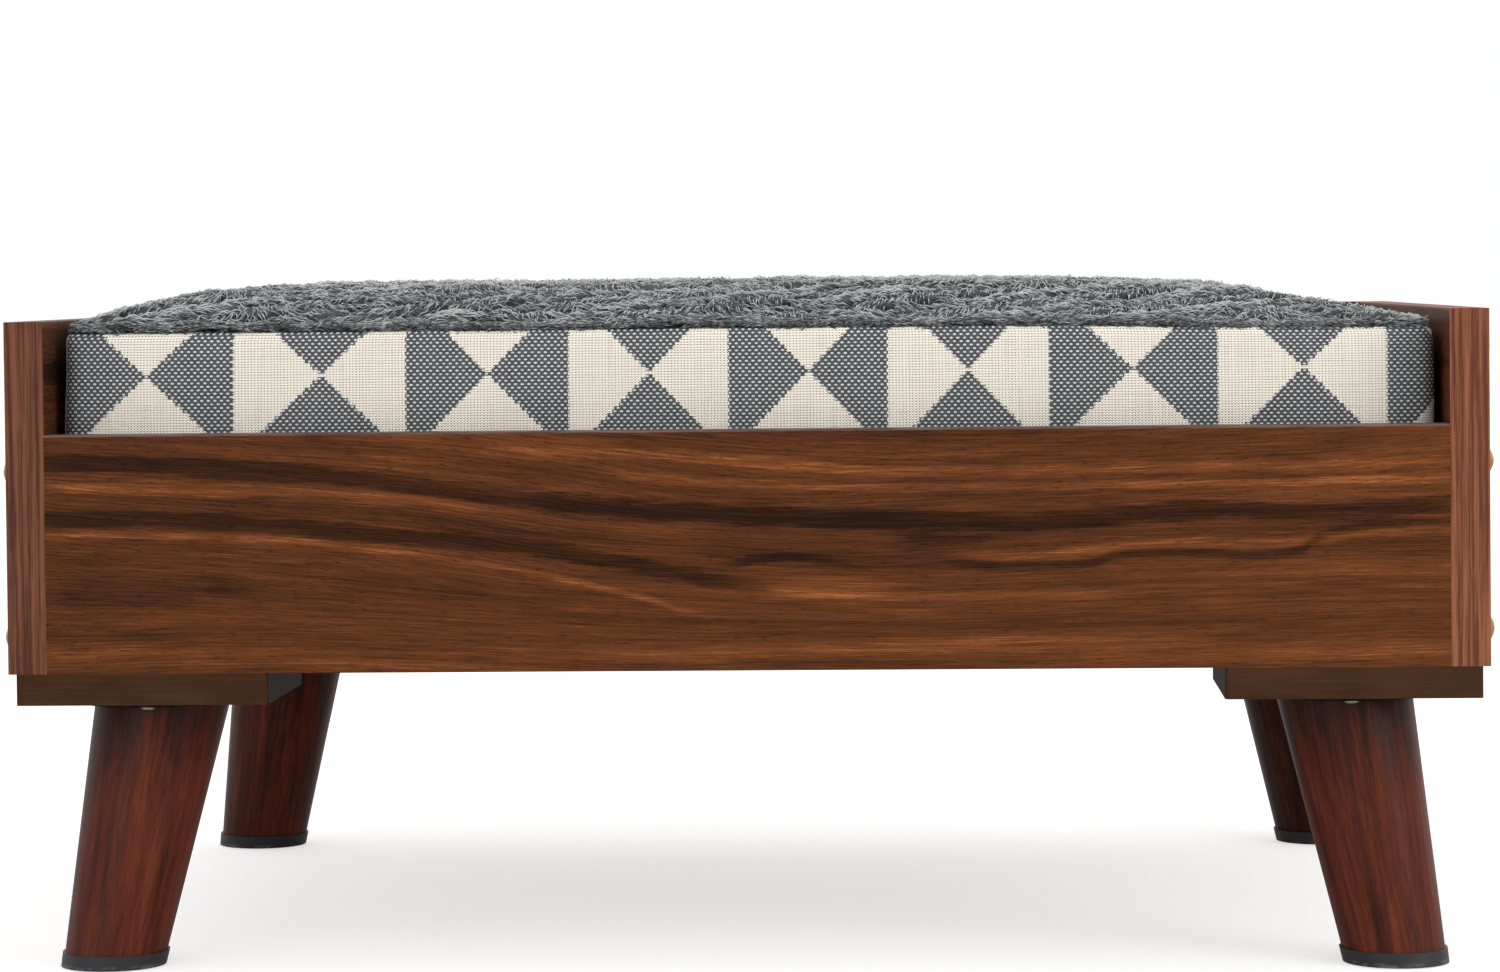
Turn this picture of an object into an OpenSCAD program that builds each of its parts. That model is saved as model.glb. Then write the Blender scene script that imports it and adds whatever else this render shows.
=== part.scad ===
// Raised dog bed: a veneered box frame on four screw-on splayed legs, with a lift-out foam mattress.
// Front is -Y, +Z is up, and the origin is on the floor under the middle of the frame.

/* [Box frame] */
// Width over the outside faces of the side panels
bed_w = 610; // [480:1:900]
// Depth from the front face to the back face
bed_d = 457; // [380:1:700]
// Thickness of the box's boards
board_t = 16; // [13:0.5:22]
// Height of the side panels
side_h = 146; // [118:1:220]
// Height of the front rail
rail_h = 99; // [80:1:140]
// Height of the back panel
back_h = 146; // [118:1:220]
// Thickness of the edge banding on exposed board edges
band_t = 0.8; // [0.4:0.1:2]

/* [Deck] */
// Height of the deck's top above the underside of the box
deck_rise = 65.5; // [54:0.5:76]
// Thickness of the deck board
deck_t = 9; // [7:0.5:12]
// Gap round the edge of the deck board
deck_gap = 1; // [0.5:0.1:3]
// Width of the square cleats that carry the deck
cleat_s = 18; // [15:0.5:24]
// Height of the beam under the middle of the deck
beam_h = 38; // [24:1:40]
// Thickness of the beam under the middle of the deck
beam_t = 18; // [15:1:24]

/* [Corner blocks] */
// Width of a corner block
block_w = 105; // [96:1:130]
// Depth of a corner block
block_d = 95; // [88:1:130]
// Thickness of a corner block
block_t = 13; // [11:0.5:19]
// Distance from the side panel's face to the block's side
block_inset = 3; // [0:0.5:6]
// Radius of the block's upright corners
block_r = 2; // [1:0.5:6]

/* [Legs] */
// Height from the floor to the leg plate
leg_h = 110; // [80:1:180]
// Radius of a leg where it meets its plate
leg_top_r = 28; // [22:0.5:32]
// Radius of a leg where it meets the floor
leg_foot_r = 20.6; // [14:0.2:25]
// Angle between a leg and the upright
leg_tilt = 13.2; // [0:0.1:18]
// Direction of the lean, turned from sideways towards the front or back
leg_turn = 41.5; // [0:0.5:90]
// Height of the plastic foot cap
cap_h = 6; // [4:0.5:12]
// Thickness of the cap's base
cap_base = 2.4; // [1.5:0.1:4]
// Thickness of the cap's rim
cap_wall = 1; // [0.8:0.1:3]
// Radius of the round steel leg plate
plate_r = 37; // [36:0.5:40]
// Thickness of the leg plate
plate_t = 2; // [1.5:0.1:4]
// Radius of the circle of plate screws
plate_pitch_r = 32.5; // [30:0.1:36]

/* [Mattress] */
// Gap between the mattress and each side panel
side_gap = 7.5; // [3:0.5:20]
// Gap between the mattress and the front rail
front_gap = 5; // [3:0.5:20]
// Gap between the mattress and the back panel, which clears the zip
back_gap = 9; // [8.5:0.5:20]
// Height of the mattress's upright sides
gusset_h = 75.7; // [60:0.1:100]
// Height of the crown above the top seam
crown_h = 17.5; // [12:0.5:30]
// Distance over which the crown rises from the edge
crown_run = 75; // [40:1:120]
// Radius of the mattress's upright corners
mattress_r = 22; // [12:1:50]
// Thickness of the canvas sides and the base cloth
canvas_t = 1.5; // [0.8:0.1:3]
// Thickness of the plush top with its backing
plush_t = 4; // [2:0.5:6]
// Thickness of the memory foam layer
memory_t = 24; // [12:1:35]

/* [Zip] */
// Length of the zip along the back of the mattress
zip_l = 420; // [200:1:440]
// Height of the zip's tape
tape_h = 26; // [18:1:32]
// Height of the zip's middle above the mattress's underside
zip_rise = 26; // [20:1:40]
// Length of the pull tab
pull_l = 24; // [18:1:30]

/* [Hardware] */
// Distance of the side bolts from a board's lower and upper ends
bolt_edge = 15.2; // [12:0.1:20]
// Radius of a side bolt's shank
bolt_r = 3; // [2.5:0.5:4]
// Radius of a side bolt's domed head
bolt_head_r = 5.5; // [5:0.1:7]
// Height of a side bolt's domed head
bolt_head_h = 2.4; // [1.8:0.1:3]
// Distance from a board's end to the middle of its barrel nut
nut_set = 34; // [28:1:40]
// Radius of a barrel nut
nut_r = 5; // [4.5:0.5:6]
// Length of a barrel nut
nut_l = 12; // [10:0.5:12]
// Radius of a wooden dowel
dowel_r = 4; // [3:0.5:5]
// Length of a wooden dowel
dowel_l = 30; // [24:1:40]
// Radius of the stud that joins a leg to its plate
stud_r = 4; // [3:0.5:5]
// Length of stud inside the leg
stud_in_leg = 30; // [20:1:45]

/* [Hidden] */
$fn = 64;
// Clearance round screws, bolts, studs and dowels in their holes
hole_gap = 0.1;
// Clearance at the bottom of a blind hole
end_gap = 0.5;
// Gap between a soft piece and what it lies on or in
soft_gap = 0.3;
// Extra length that carries a cut past a face
over = 1;
// Thickness of one slice of a crowned shape
crown_skin = 0.05;
// Steps from the edge of a crown to its flat middle
crown_steps = 8;

// Heights above the floor
block_z = leg_h + plate_t;
box_z = block_z + block_t;
deck_top = box_z + deck_rise;
deck_z = deck_top - deck_t;
cleat_z = deck_z - cleat_s;
mattress_z = deck_top + soft_gap;
seam_z = mattress_z + gusset_h;

// Spaces between boards
inner_w = bed_w - 2 * board_t;
inner_d = bed_d - 2 * board_t;
mattress_w = inner_w - 2 * side_gap;
mattress_d = inner_d - front_gap - back_gap;
mattress_y = (front_gap - back_gap) / 2;

// Fasteners, measured from a corner of the box
seat_x = block_inset + block_w / 2;
seat_y = block_d / 2;
bolt_reach = board_t + nut_set;
bolt_l = bolt_reach + nut_r + 1;
rail_screws = [72, 98];
side_screws = [30, 80];
screw_r = 2;
screw_head_r = 4;
screw_head_h = 2.3;
plate_screw_r = 1.75;
plate_screw_l = 11;
plate_head_h = 2.2;
hub_r = 6;
hub_h = 8;
nail_r = 1.3;
nail_l = 18;
nail_head_r = 5;
nail_head_t = 1;
dowel_in_side = 10;

// The zip, from the canvas outwards
tape_t = 0.8;
chain_t = 1.6;
chain_h = 5;
slider_w = 11;
slider_h = 8.6;
slider_t = 1.4;
bridge_w = 2;
bridge_t = 0.8;
bridge_gap = 1.4;
pull_t = 1;
pull_h = 7;
zip_y = mattress_y + mattress_d / 2;
tape_y = zip_y + tape_t;
chain_y = tape_y + chain_t;
slider_y = chain_y + soft_gap;
bridge_y = slider_y + slider_t + bridge_gap;
pull_y = slider_y + slider_t + bridge_gap / 2;
zip_z = mattress_z + zip_rise;
slider_x = -zip_l / 2 + 12;

// ---------- helpers ----------

// Mirrors its children only where asked
module flipped(on, axis) {
    if (on)
        mirror(axis)
            children();
    else
        children();
}

// Places a front left corner's geometry, drawn inwards from that corner, at corner sx, sy
module at_corner(sx, sy) {
    translate([sx * bed_w / 2, sy * bed_d / 2, 0])
        flipped(sx > 0, [1, 0, 0])
            flipped(sy > 0, [0, 1, 0])
                children();
}

module at_corners() {
    for (sx = [-1, 1], sy = [-1, 1])
        at_corner(sx, sy)
            children();
}

// A rectangle with round corners, centred on the origin
module round_rect(w, d, r) {
    square([w - 2 * r, d], center = true);
    square([w, d - 2 * r], center = true);
    for (sx = [-1, 1], sy = [-1, 1])
        translate([sx * (w / 2 - r), sy * (d / 2 - r)])
            circle(r);
}

// A box from its low corner to its high corner
module span(low, high) {
    translate(low)
        cube(high - low);
}

// A cylinder along +X from the given point
module along_x(at, l, r) {
    translate(at)
        rotate([0, 90, 0])
            cylinder(h = l, r = r);
}

// A cylinder along +Y from the given point
module along_y(at, l, r) {
    translate(at)
        rotate([-90, 0, 0])
            cylinder(h = l, r = r);
}

// A countersunk screw with its head's face at the origin, pointing along +Z
module flat_screw(l, gap = 0) {
    cylinder(h = screw_head_h, r1 = screw_head_r + gap, r2 = screw_r + gap);
    cylinder(h = l + (gap > 0 ? end_gap : 0), r = screw_r + gap);
}

// Heights of the bolts and of the dowels in a board of height h, above the box's underside
function bolt_heights(h) = [bolt_edge, h - bolt_edge];
function dowel_heights(h) = h > 1.2 * rail_h ? [h / 3, 2 * h / 3] : [h / 2];
function board_h(sy) = sy < 0 ? rail_h : back_h;

// ---------- box joints ----------

// The side bolts at one corner, or their holes
module corner_bolts(sy, gap = 0) {
    for (h = bolt_heights(board_h(sy)))
        along_x([-gap * over, board_t / 2, box_z + h], bolt_l + gap * over + gap, bolt_r + gap);
}

// The dowels at one corner, or their holes
module corner_dowel_set(sy, gap = 0) {
    extra = gap > 0 ? end_gap : 0;
    for (h = dowel_heights(board_h(sy)))
        along_x([board_t - dowel_in_side - extra, board_t / 2, box_z + h], dowel_l + 2 * extra, dowel_r + gap);
}

// The barrel nuts at one corner, or their holes, which open on the board's inner face
module corner_nuts(sy, gap = 0) {
    for (h = bolt_heights(board_h(sy)))
        along_y([bolt_reach, board_t - nut_l - gap, box_z + h], nut_l + gap + (gap > 0 ? over : 0), nut_r + gap);
}

// The screws that hold a corner block, or their holes
module corner_block_screws(gap = 0) {
    for (x = rail_screws)
        translate([x, board_t / 2, block_z])
            flat_screw(block_t + 22, gap);
    for (y = side_screws)
        translate([board_t / 2, y, block_z])
            flat_screw(block_t + 22, gap);
}

module joint_holes() {
    for (sx = [-1, 1], sy = [-1, 1])
        at_corner(sx, sy) {
            corner_bolts(sy, hole_gap);
            corner_dowel_set(sy, hole_gap);
            corner_nuts(sy, hole_gap);
            corner_block_screws(hole_gap);
        }
}

// Where the cleats' screws go: along each cleat, from its middle
side_cleat_spots = [-inner_d / 2 + 60, 0, inner_d / 2 - 60];
long_cleat_spots = [-inner_w / 2 + 70, -inner_w / 8, inner_w / 8, inner_w / 2 - 70];
cleat_screw_l = 28;

// The screws through the cleats, or their holes
module cleat_screw_set(gap = 0) {
    z = cleat_z + cleat_s / 2;
    for (sx = [-1, 1], y = side_cleat_spots)
        translate([sx * (inner_w / 2 - cleat_s), y, z])
            rotate([0, sx * 90, 0])
                flat_screw(cleat_screw_l, gap);
    for (sy = [-1, 1], x = long_cleat_spots)
        translate([x, sy * (inner_d / 2 - cleat_s), z])
            rotate([-sy * 90, 0, 0])
                flat_screw(cleat_screw_l, gap);
}

// The screws down through the deck, or their holes
module deck_screw_set(gap = 0) {
    for (sy = [-1, 1], x = [-inner_w / 2 + 120, inner_w / 2 - 120])
        translate([x, sy * (inner_d - cleat_s) / 2, deck_top])
            rotate([180, 0, 0])
                flat_screw(deck_t + 12, gap);
    for (y = [-inner_d / 4, inner_d / 4])
        translate([0, y, deck_top])
            rotate([180, 0, 0])
                flat_screw(deck_t + 12, gap);
}

// The screws through the long cleats into the beam's ends, or their holes
module beam_screw_set(gap = 0) {
    for (sy = [-1, 1])
        translate([0, sy * inner_d / 2, deck_z - cleat_s / 2])
            rotate([sy * 90, 0, 0])
                flat_screw(cleat_s + 30, gap);
}

// ---------- boards ----------

module side_panel(sx) {
    color("#5a3326")
        difference() {
            span(
                [sx < 0 ? -bed_w / 2 : inner_w / 2, -bed_d / 2 + band_t, box_z],
                [sx < 0 ? -inner_w / 2 : bed_w / 2, bed_d / 2 - band_t, box_z + side_h - band_t]
            );
            joint_holes();
            cleat_screw_set(hole_gap);
        }
}

module front_rail() {
    color("#5a3326")
        difference() {
            span(
                [-inner_w / 2, -bed_d / 2, box_z],
                [inner_w / 2, -inner_d / 2, box_z + rail_h - band_t]
            );
            joint_holes();
            cleat_screw_set(hole_gap);
        }
}

module back_panel() {
    color("#5a3326")
        difference() {
            span(
                [-inner_w / 2, inner_d / 2, box_z],
                [inner_w / 2, bed_d / 2, box_z + back_h - band_t]
            );
            joint_holes();
            cleat_screw_set(hole_gap);
        }
}

// Bands on a side panel's front, back and top edges
module side_bands(sx) {
    low_x = sx < 0 ? -bed_w / 2 : inner_w / 2;
    high_x = low_x + board_t;
    top = box_z + side_h;
    color("#7a4a35") {
        for (sy = [-1, 1])
            span(
                [low_x, sy < 0 ? -bed_d / 2 : bed_d / 2 - band_t, box_z],
                [high_x, sy < 0 ? -bed_d / 2 + band_t : bed_d / 2, top - band_t]
            );
        span([low_x, -bed_d / 2, top - band_t], [high_x, bed_d / 2, top]);
    }
}

// The band on the top edge of the front rail or the back panel
module top_band(sy) {
    top = box_z + board_h(sy);
    low_y = sy < 0 ? -bed_d / 2 : inner_d / 2;
    color("#7a4a35")
        span([-inner_w / 2, low_y, top - band_t], [inner_w / 2, low_y + board_t, top]);
}

module deck_board() {
    color("#c9a877")
        difference() {
            span(
                [-inner_w / 2 + deck_gap, -inner_d / 2 + deck_gap, deck_z],
                [inner_w / 2 - deck_gap, inner_d / 2 - deck_gap, deck_top]
            );
            deck_screw_set(hole_gap);
        }
}

// A cleat on the front rail or the back panel
module long_cleat(sy) {
    low_y = sy < 0 ? -inner_d / 2 : inner_d / 2 - cleat_s;
    color("#d2b184")
        difference() {
            span(
                [-inner_w / 2 + cleat_s, low_y, cleat_z],
                [inner_w / 2 - cleat_s, low_y + cleat_s, deck_z]
            );
            cleat_screw_set(hole_gap);
            deck_screw_set(hole_gap);
            beam_screw_set(hole_gap);
        }
}

// A cleat on a side panel
module side_cleat(sx) {
    low_x = sx < 0 ? -inner_w / 2 : inner_w / 2 - cleat_s;
    color("#d2b184")
        difference() {
            span([low_x, -inner_d / 2, cleat_z], [low_x + cleat_s, inner_d / 2, deck_z]);
            cleat_screw_set(hole_gap);
        }
}

module center_beam() {
    color("#d2b184")
        difference() {
            span(
                [-beam_t / 2, -inner_d / 2 + cleat_s, deck_z - beam_h],
                [beam_t / 2, inner_d / 2 - cleat_s, deck_z]
            );
            beam_screw_set(hole_gap);
            deck_screw_set(hole_gap);
        }
}

// ---------- fasteners ----------

// A domed head with a hexagonal socket, on the board's outer face and standing out along -X
module dome_head() {
    ball_r = (pow(bolt_head_r, 2) + pow(bolt_head_h, 2)) / (2 * bolt_head_h);
    difference() {
        intersection() {
            translate([ball_r - bolt_head_h, 0, 0])
                sphere(ball_r);
            along_x([-bolt_head_h, 0, 0], bolt_head_h, bolt_head_r + over);
        }
        translate([-bolt_head_h - over, 0, 0])
            rotate([0, 90, 0])
                cylinder(h = over + 1.4, r = 2, $fn = 6);
    }
}

module side_bolts() {
    color("#b08d4f")
        for (sx = [-1, 1], sy = [-1, 1])
            at_corner(sx, sy)
                for (h = bolt_heights(board_h(sy)))
                    translate([0, board_t / 2, box_z + h])
                        union() {
                            dome_head();
                            along_x([0, 0, 0], bolt_l, bolt_r);
                        }
}

module barrel_nuts() {
    color("#9a9a96")
        for (sx = [-1, 1], sy = [-1, 1])
            at_corner(sx, sy)
                difference() {
                    corner_nuts(sy);
                    corner_bolts(sy, hole_gap);
                }
}

module corner_dowels() {
    color("#d8bd92")
        for (sx = [-1, 1], sy = [-1, 1])
            at_corner(sx, sy)
                corner_dowel_set(sy);
}

module cleat_screws() {
    color("#a8a49c")
        cleat_screw_set();
}

module deck_screws() {
    color("#a8a49c")
        deck_screw_set();
}

module beam_screws() {
    color("#a8a49c")
        beam_screw_set();
}

module block_screws() {
    color("#a8a49c")
        at_corners()
            corner_block_screws();
}

// ---------- corner blocks, plates and legs ----------

// The pan-head screws of one leg plate, or their holes
module plate_screw_ring(gap = 0) {
    for (a = [0:90:270])
        translate([seat_x, seat_y, 0])
            rotate([0, 0, a])
                translate([plate_pitch_r, 0, leg_h])
                    cylinder(h = plate_screw_l + (gap > 0 ? end_gap : 0), r = plate_screw_r + gap);
}

// The stud of one leg, or its hole
module leg_stud(gap = 0) {
    extra = gap > 0 ? end_gap : 0;
    translate([seat_x, seat_y, leg_h - stud_in_leg - extra])
        cylinder(h = stud_in_leg + plate_t + hub_h + 2 + 2 * extra, r = stud_r + gap);
}

// The hidden nail of one foot cap, or its hole
module foot_nail(gap = 0) {
    foot = foot_centre();
    translate([foot[0], foot[1], cap_base / 2 - nail_head_t / 2 - gap])
        union() {
            cylinder(h = nail_head_t + 2 * gap, r = nail_head_r + gap);
            cylinder(h = nail_l + (gap > 0 ? end_gap : 0), r = nail_r + gap);
        }
}

// Where a leg's axis meets the floor, from its corner
function foot_centre() = [
    seat_x - leg_h * tan(leg_tilt) * cos(leg_turn),
    seat_y - leg_h * tan(leg_tilt) * sin(leg_turn)
];

// A leaning cone, wider by grow all round, that runs past both ends of the leg
module leg_cone(grow) {
    l = leg_h / cos(leg_tilt);
    slope = (leg_top_r - leg_foot_r) / l;
    reach = leg_top_r;
    foot = foot_centre();
    translate([foot[0], foot[1], 0])
        rotate([0, 0, leg_turn])
            rotate([0, leg_tilt, 0])
                translate([0, 0, -reach])
                    cylinder(
                        h = l + 2 * reach,
                        r1 = leg_foot_r - slope * reach + grow,
                        r2 = leg_top_r + slope * reach + grow
                    );
}

// The slice of a leaning cone between two heights
module leg_slice(low, high, grow = 0) {
    size = 2 * (leg_top_r + leg_h);
    intersection() {
        leg_cone(grow);
        translate([seat_x - size / 2, seat_y - size / 2, low])
            cube([size, size, high - low]);
    }
}

module leg(sx, sy) {
    color("#4d2a20")
        at_corner(sx, sy)
            difference() {
                leg_slice(cap_base, leg_h);
                leg_stud(hole_gap);
                foot_nail(hole_gap);
            }
}

module foot(sx, sy) {
    color("#1c1b1a")
        at_corner(sx, sy)
            difference() {
                leg_slice(0, cap_h, cap_wall);
                leg_slice(cap_base, cap_h + over, hole_gap / 2);
                foot_nail(hole_gap);
            }
}

module leg_plate(sx, sy) {
    color("#3a2a22")
        at_corner(sx, sy)
            difference() {
                union() {
                    translate([seat_x, seat_y, leg_h])
                        cylinder(h = plate_t, r = plate_r);
                    translate([seat_x, seat_y, leg_h])
                        cylinder(h = plate_t + hub_h, r = hub_r);
                }
                plate_screw_ring(hole_gap);
                leg_stud(hole_gap);
            }
}

module block(sx, sy) {
    color("#45301f")
        at_corner(sx, sy)
            difference() {
                translate([seat_x, seat_y, block_z])
                    linear_extrude(block_t)
                        round_rect(block_w, block_d, block_r);
                translate([seat_x, seat_y, block_z - over])
                    cylinder(h = block_t + 2 * over, r = hub_r + hole_gap);
                plate_screw_ring(hole_gap);
                corner_block_screws(hole_gap);
            }
}

// A pan head is a shallow dome under the plate
module plate_screws() {
    ball_r = (pow(screw_head_r, 2) + pow(plate_head_h, 2)) / (2 * plate_head_h);
    color("#5b4d42")
        at_corners() {
            plate_screw_ring();
            for (a = [0:90:270])
                translate([seat_x, seat_y, 0])
                    rotate([0, 0, a])
                        translate([plate_pitch_r, 0, leg_h - plate_head_h])
                            intersection() {
                                translate([0, 0, ball_r])
                                    sphere(ball_r);
                                cylinder(h = plate_head_h, r = screw_head_r + over);
                            }
        }
}

module leg_studs() {
    color("#a8a49c")
        at_corners()
            leg_stud();
}

module foot_nails() {
    color("#a8a49c")
        at_corners()
            foot_nail();
}

// ---------- mattress ----------

// An upright slab with round corners under the mattress's outline, drawn in by inset
module slab(low, high, inset) {
    translate([0, mattress_y, low])
        linear_extrude(high - low)
            round_rect(mattress_w - 2 * inset, mattress_d - 2 * inset, mattress_r - inset);
}

// A thin slice of the crown, drawn in by inset, at height z above the seam
module crown_slice(inset, z) {
    translate([0, 0, z])
        linear_extrude(crown_skin)
            round_rect(mattress_w - 2 * inset, mattress_d - 2 * inset, mattress_r, $fn = 32);
}

// Step i of a crown: its inset and height follow a quarter of a sine wave
module crown_step(inset, h, i) {
    crown_slice(inset + crown_run * i / crown_steps, (h - crown_skin) * sin(90 * i / crown_steps));
}

// A cushion top that rises from its edge and is flat in the middle.
// A skirt carries its outline straight down past the seam.
module crown(inset, h, skirt = 0) {
    translate([0, mattress_y, seam_z]) {
        for (i = [1:crown_steps])
            hull() {
                crown_step(inset, h, i - 1);
                crown_step(inset, h, i);
            }
        if (skirt > 0)
            hull() {
                crown_slice(inset, -skirt);
                crown_step(inset, h, 0);
            }
    }
}

module support_foam() {
    color("#d9d4c8")
        slab(mattress_z + canvas_t, seam_z - memory_t, canvas_t + soft_gap);
}

module memory_foam() {
    color("#efe6b8")
        slab(seam_z - memory_t, seam_z, canvas_t + soft_gap);
}

module crown_pad() {
    color("#f2f2ee")
        crown(plush_t + soft_gap, crown_h - plush_t - soft_gap);
}

module cover_top() {
    color("#5f6a70")
        difference() {
            crown(0, crown_h);
            crown(plush_t, crown_h - plush_t, over);
        }
}

module cover_gusset() {
    color("#8b857a")
        difference() {
            slab(mattress_z + canvas_t, seam_z, 0);
            slab(mattress_z, seam_z + over, canvas_t);
        }
}

module cover_base() {
    color("#3b3d40")
        slab(mattress_z, mattress_z + canvas_t, 0);
}

// ---------- zip ----------

module zip_tape() {
    color("#2f3133")
        span([-zip_l / 2, zip_y, zip_z - tape_h / 2], [zip_l / 2, tape_y, zip_z + tape_h / 2]);
}

module zip_chain() {
    color("#1f2022")
        span([-zip_l / 2 + 4, tape_y, zip_z - chain_h / 2], [zip_l / 2 - 4, chain_y, zip_z + chain_h / 2]);
}

// The slider's outer shell straddles the teeth, and its bridge holds the pull
module zip_slider() {
    post_x = slider_w / 2 - 1.5;
    color("#8d9094")
        translate([slider_x, 0, zip_z])
            difference() {
                union() {
                    translate([0, slider_y + slider_t, 0])
                        rotate([90, 0, 0])
                            linear_extrude(slider_y + slider_t - tape_y - soft_gap)
                                round_rect(slider_w, slider_h, 2);
                    span(
                        [-slider_w / 2 + 1, slider_y + slider_t - 0.2, -bridge_w / 2],
                        [slider_w / 2 - 1, bridge_y + bridge_t, bridge_w / 2]
                    );
                }
                span(
                    [-slider_w / 2 - over, tape_y, -chain_h / 2 - soft_gap],
                    [slider_w / 2 + over, slider_y, chain_h / 2 + soft_gap]
                );
                span(
                    [-post_x, slider_y + slider_t, -bridge_w / 2 - over],
                    [post_x, bridge_y, bridge_w / 2 + over]
                );
            }
}

// The pull tab hangs on a round bar under the slider's bridge
module zip_pull() {
    arm_z = bridge_w / 2 + 0.6;
    arm_h = 1.2;
    plate_x = slider_w / 2 + 0.7;
    color("#7d8084")
        translate([slider_x, pull_y, zip_z])
            union() {
                translate([0, 0, -arm_z - arm_h])
                    cylinder(h = 2 * (arm_z + arm_h), r = pull_t / 2);
                for (sz = [-1, 1])
                    translate([0, -pull_t / 2, sz > 0 ? arm_z : -arm_z - arm_h])
                        cube([plate_x + 1, pull_t, arm_h]);
                difference() {
                    translate([(plate_x + pull_l) / 2, pull_t / 2, 0])
                        rotate([90, 0, 0])
                            linear_extrude(pull_t)
                                round_rect(pull_l - plate_x, pull_h, 1.5);
                    along_y([pull_l - 4, -pull_t, 0], 2 * pull_t, 1.5);
                }
            }
}

// ---------- output ----------

side_panel(-1);  // left_side_panel
side_panel(1);  // right_side_panel
front_rail();
back_panel();
side_bands(-1);  // left_panel_bands
side_bands(1);  // right_panel_bands
top_band(-1);  // front_rail_band
top_band(1);  // back_panel_band
deck_board();
long_cleat(-1);  // front_cleat
long_cleat(1);  // back_cleat
side_cleat(-1);  // left_cleat
side_cleat(1);  // right_cleat
center_beam();
side_bolts();
barrel_nuts();
corner_dowels();
cleat_screws();
deck_screws();
beam_screws();
block(-1, -1);  // front_left_block
block(1, -1);  // front_right_block
block(-1, 1);  // back_left_block
block(1, 1);  // back_right_block
leg_plate(-1, -1);  // front_left_plate
leg_plate(1, -1);  // front_right_plate
leg_plate(-1, 1);  // back_left_plate
leg_plate(1, 1);  // back_right_plate
leg(-1, -1);  // front_left_leg
leg(1, -1);  // front_right_leg
leg(-1, 1);  // back_left_leg
leg(1, 1);  // back_right_leg
foot(-1, -1);  // front_left_foot
foot(1, -1);  // front_right_foot
foot(-1, 1);  // back_left_foot
foot(1, 1);  // back_right_foot
block_screws();
plate_screws();
leg_studs();
foot_nails();
support_foam();
memory_foam();
crown_pad();
cover_top();
cover_gusset();
cover_base();
zip_tape();
zip_chain();
zip_slider();
zip_pull();
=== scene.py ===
"""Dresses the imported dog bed: walnut boards, turned legs, patterned mattress, plush top and zip."""

import logging
import math
from collections.abc import Callable
from dataclasses import dataclass, field, replace
from enum import Enum

import bpy
import numpy as np
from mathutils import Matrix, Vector


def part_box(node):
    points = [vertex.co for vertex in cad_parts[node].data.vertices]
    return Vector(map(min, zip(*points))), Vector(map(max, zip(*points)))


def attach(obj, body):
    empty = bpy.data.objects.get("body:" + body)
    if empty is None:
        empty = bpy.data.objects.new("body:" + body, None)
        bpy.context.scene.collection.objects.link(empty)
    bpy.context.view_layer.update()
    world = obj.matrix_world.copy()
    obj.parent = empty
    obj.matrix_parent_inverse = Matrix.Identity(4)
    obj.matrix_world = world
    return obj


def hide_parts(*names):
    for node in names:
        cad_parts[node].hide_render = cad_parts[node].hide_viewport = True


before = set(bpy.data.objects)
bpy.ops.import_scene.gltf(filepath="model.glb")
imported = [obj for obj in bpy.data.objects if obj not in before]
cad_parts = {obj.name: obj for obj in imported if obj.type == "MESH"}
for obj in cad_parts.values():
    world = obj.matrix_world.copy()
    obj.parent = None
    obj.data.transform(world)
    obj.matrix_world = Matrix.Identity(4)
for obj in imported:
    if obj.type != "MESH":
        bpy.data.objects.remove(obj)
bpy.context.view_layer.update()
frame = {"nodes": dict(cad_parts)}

LOG = logging.getLogger("dog_bed")
MM = 0.001
MIX_COLOUR_INPUTS = (0, 6, 7)
MIX_COLOUR_OUTPUT = 2
TURN = 2.0 * math.pi
UP = np.array([0.0, 0.0, 1.0])
SAME = 1e-6  # two heights nearer than this are the same
PLUS_EVEN = 200.0  # keeps a count of rows above zero, where odd() is right
Pair = tuple[float, float]
Point = tuple[float, float, float]
Colour = tuple[float, float, float, float]
Profile = Callable[[float], float]


class Grain(Enum):
    """Which way the wood runs, as (along, across, through) axes."""

    ALONG_X = (0, 2, 1)
    ALONG_Y = (1, 2, 0)
    ALONG_Z = (2, 0, 1)
    FLAT_X = (0, 1, 2)


# ---------------------------------------------------------------- numbers on a surface


def tint(red: float, green: float, blue: float) -> Colour:
    """Turns a display colour into scene light.

    Args:
        red, green, blue: channels from 0 to 255, as a paint chart gives them.

    Returns:
        The linear colour with full opacity.
    """
    channels = np.array([red, green, blue]) / 255.0
    low = channels / 12.92
    high = ((channels + 0.055) / 1.055) ** 2.4
    linear = np.where(channels <= 0.04045, low, high)
    return (float(linear[0]), float(linear[1]), float(linear[2]), 1.0)


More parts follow.
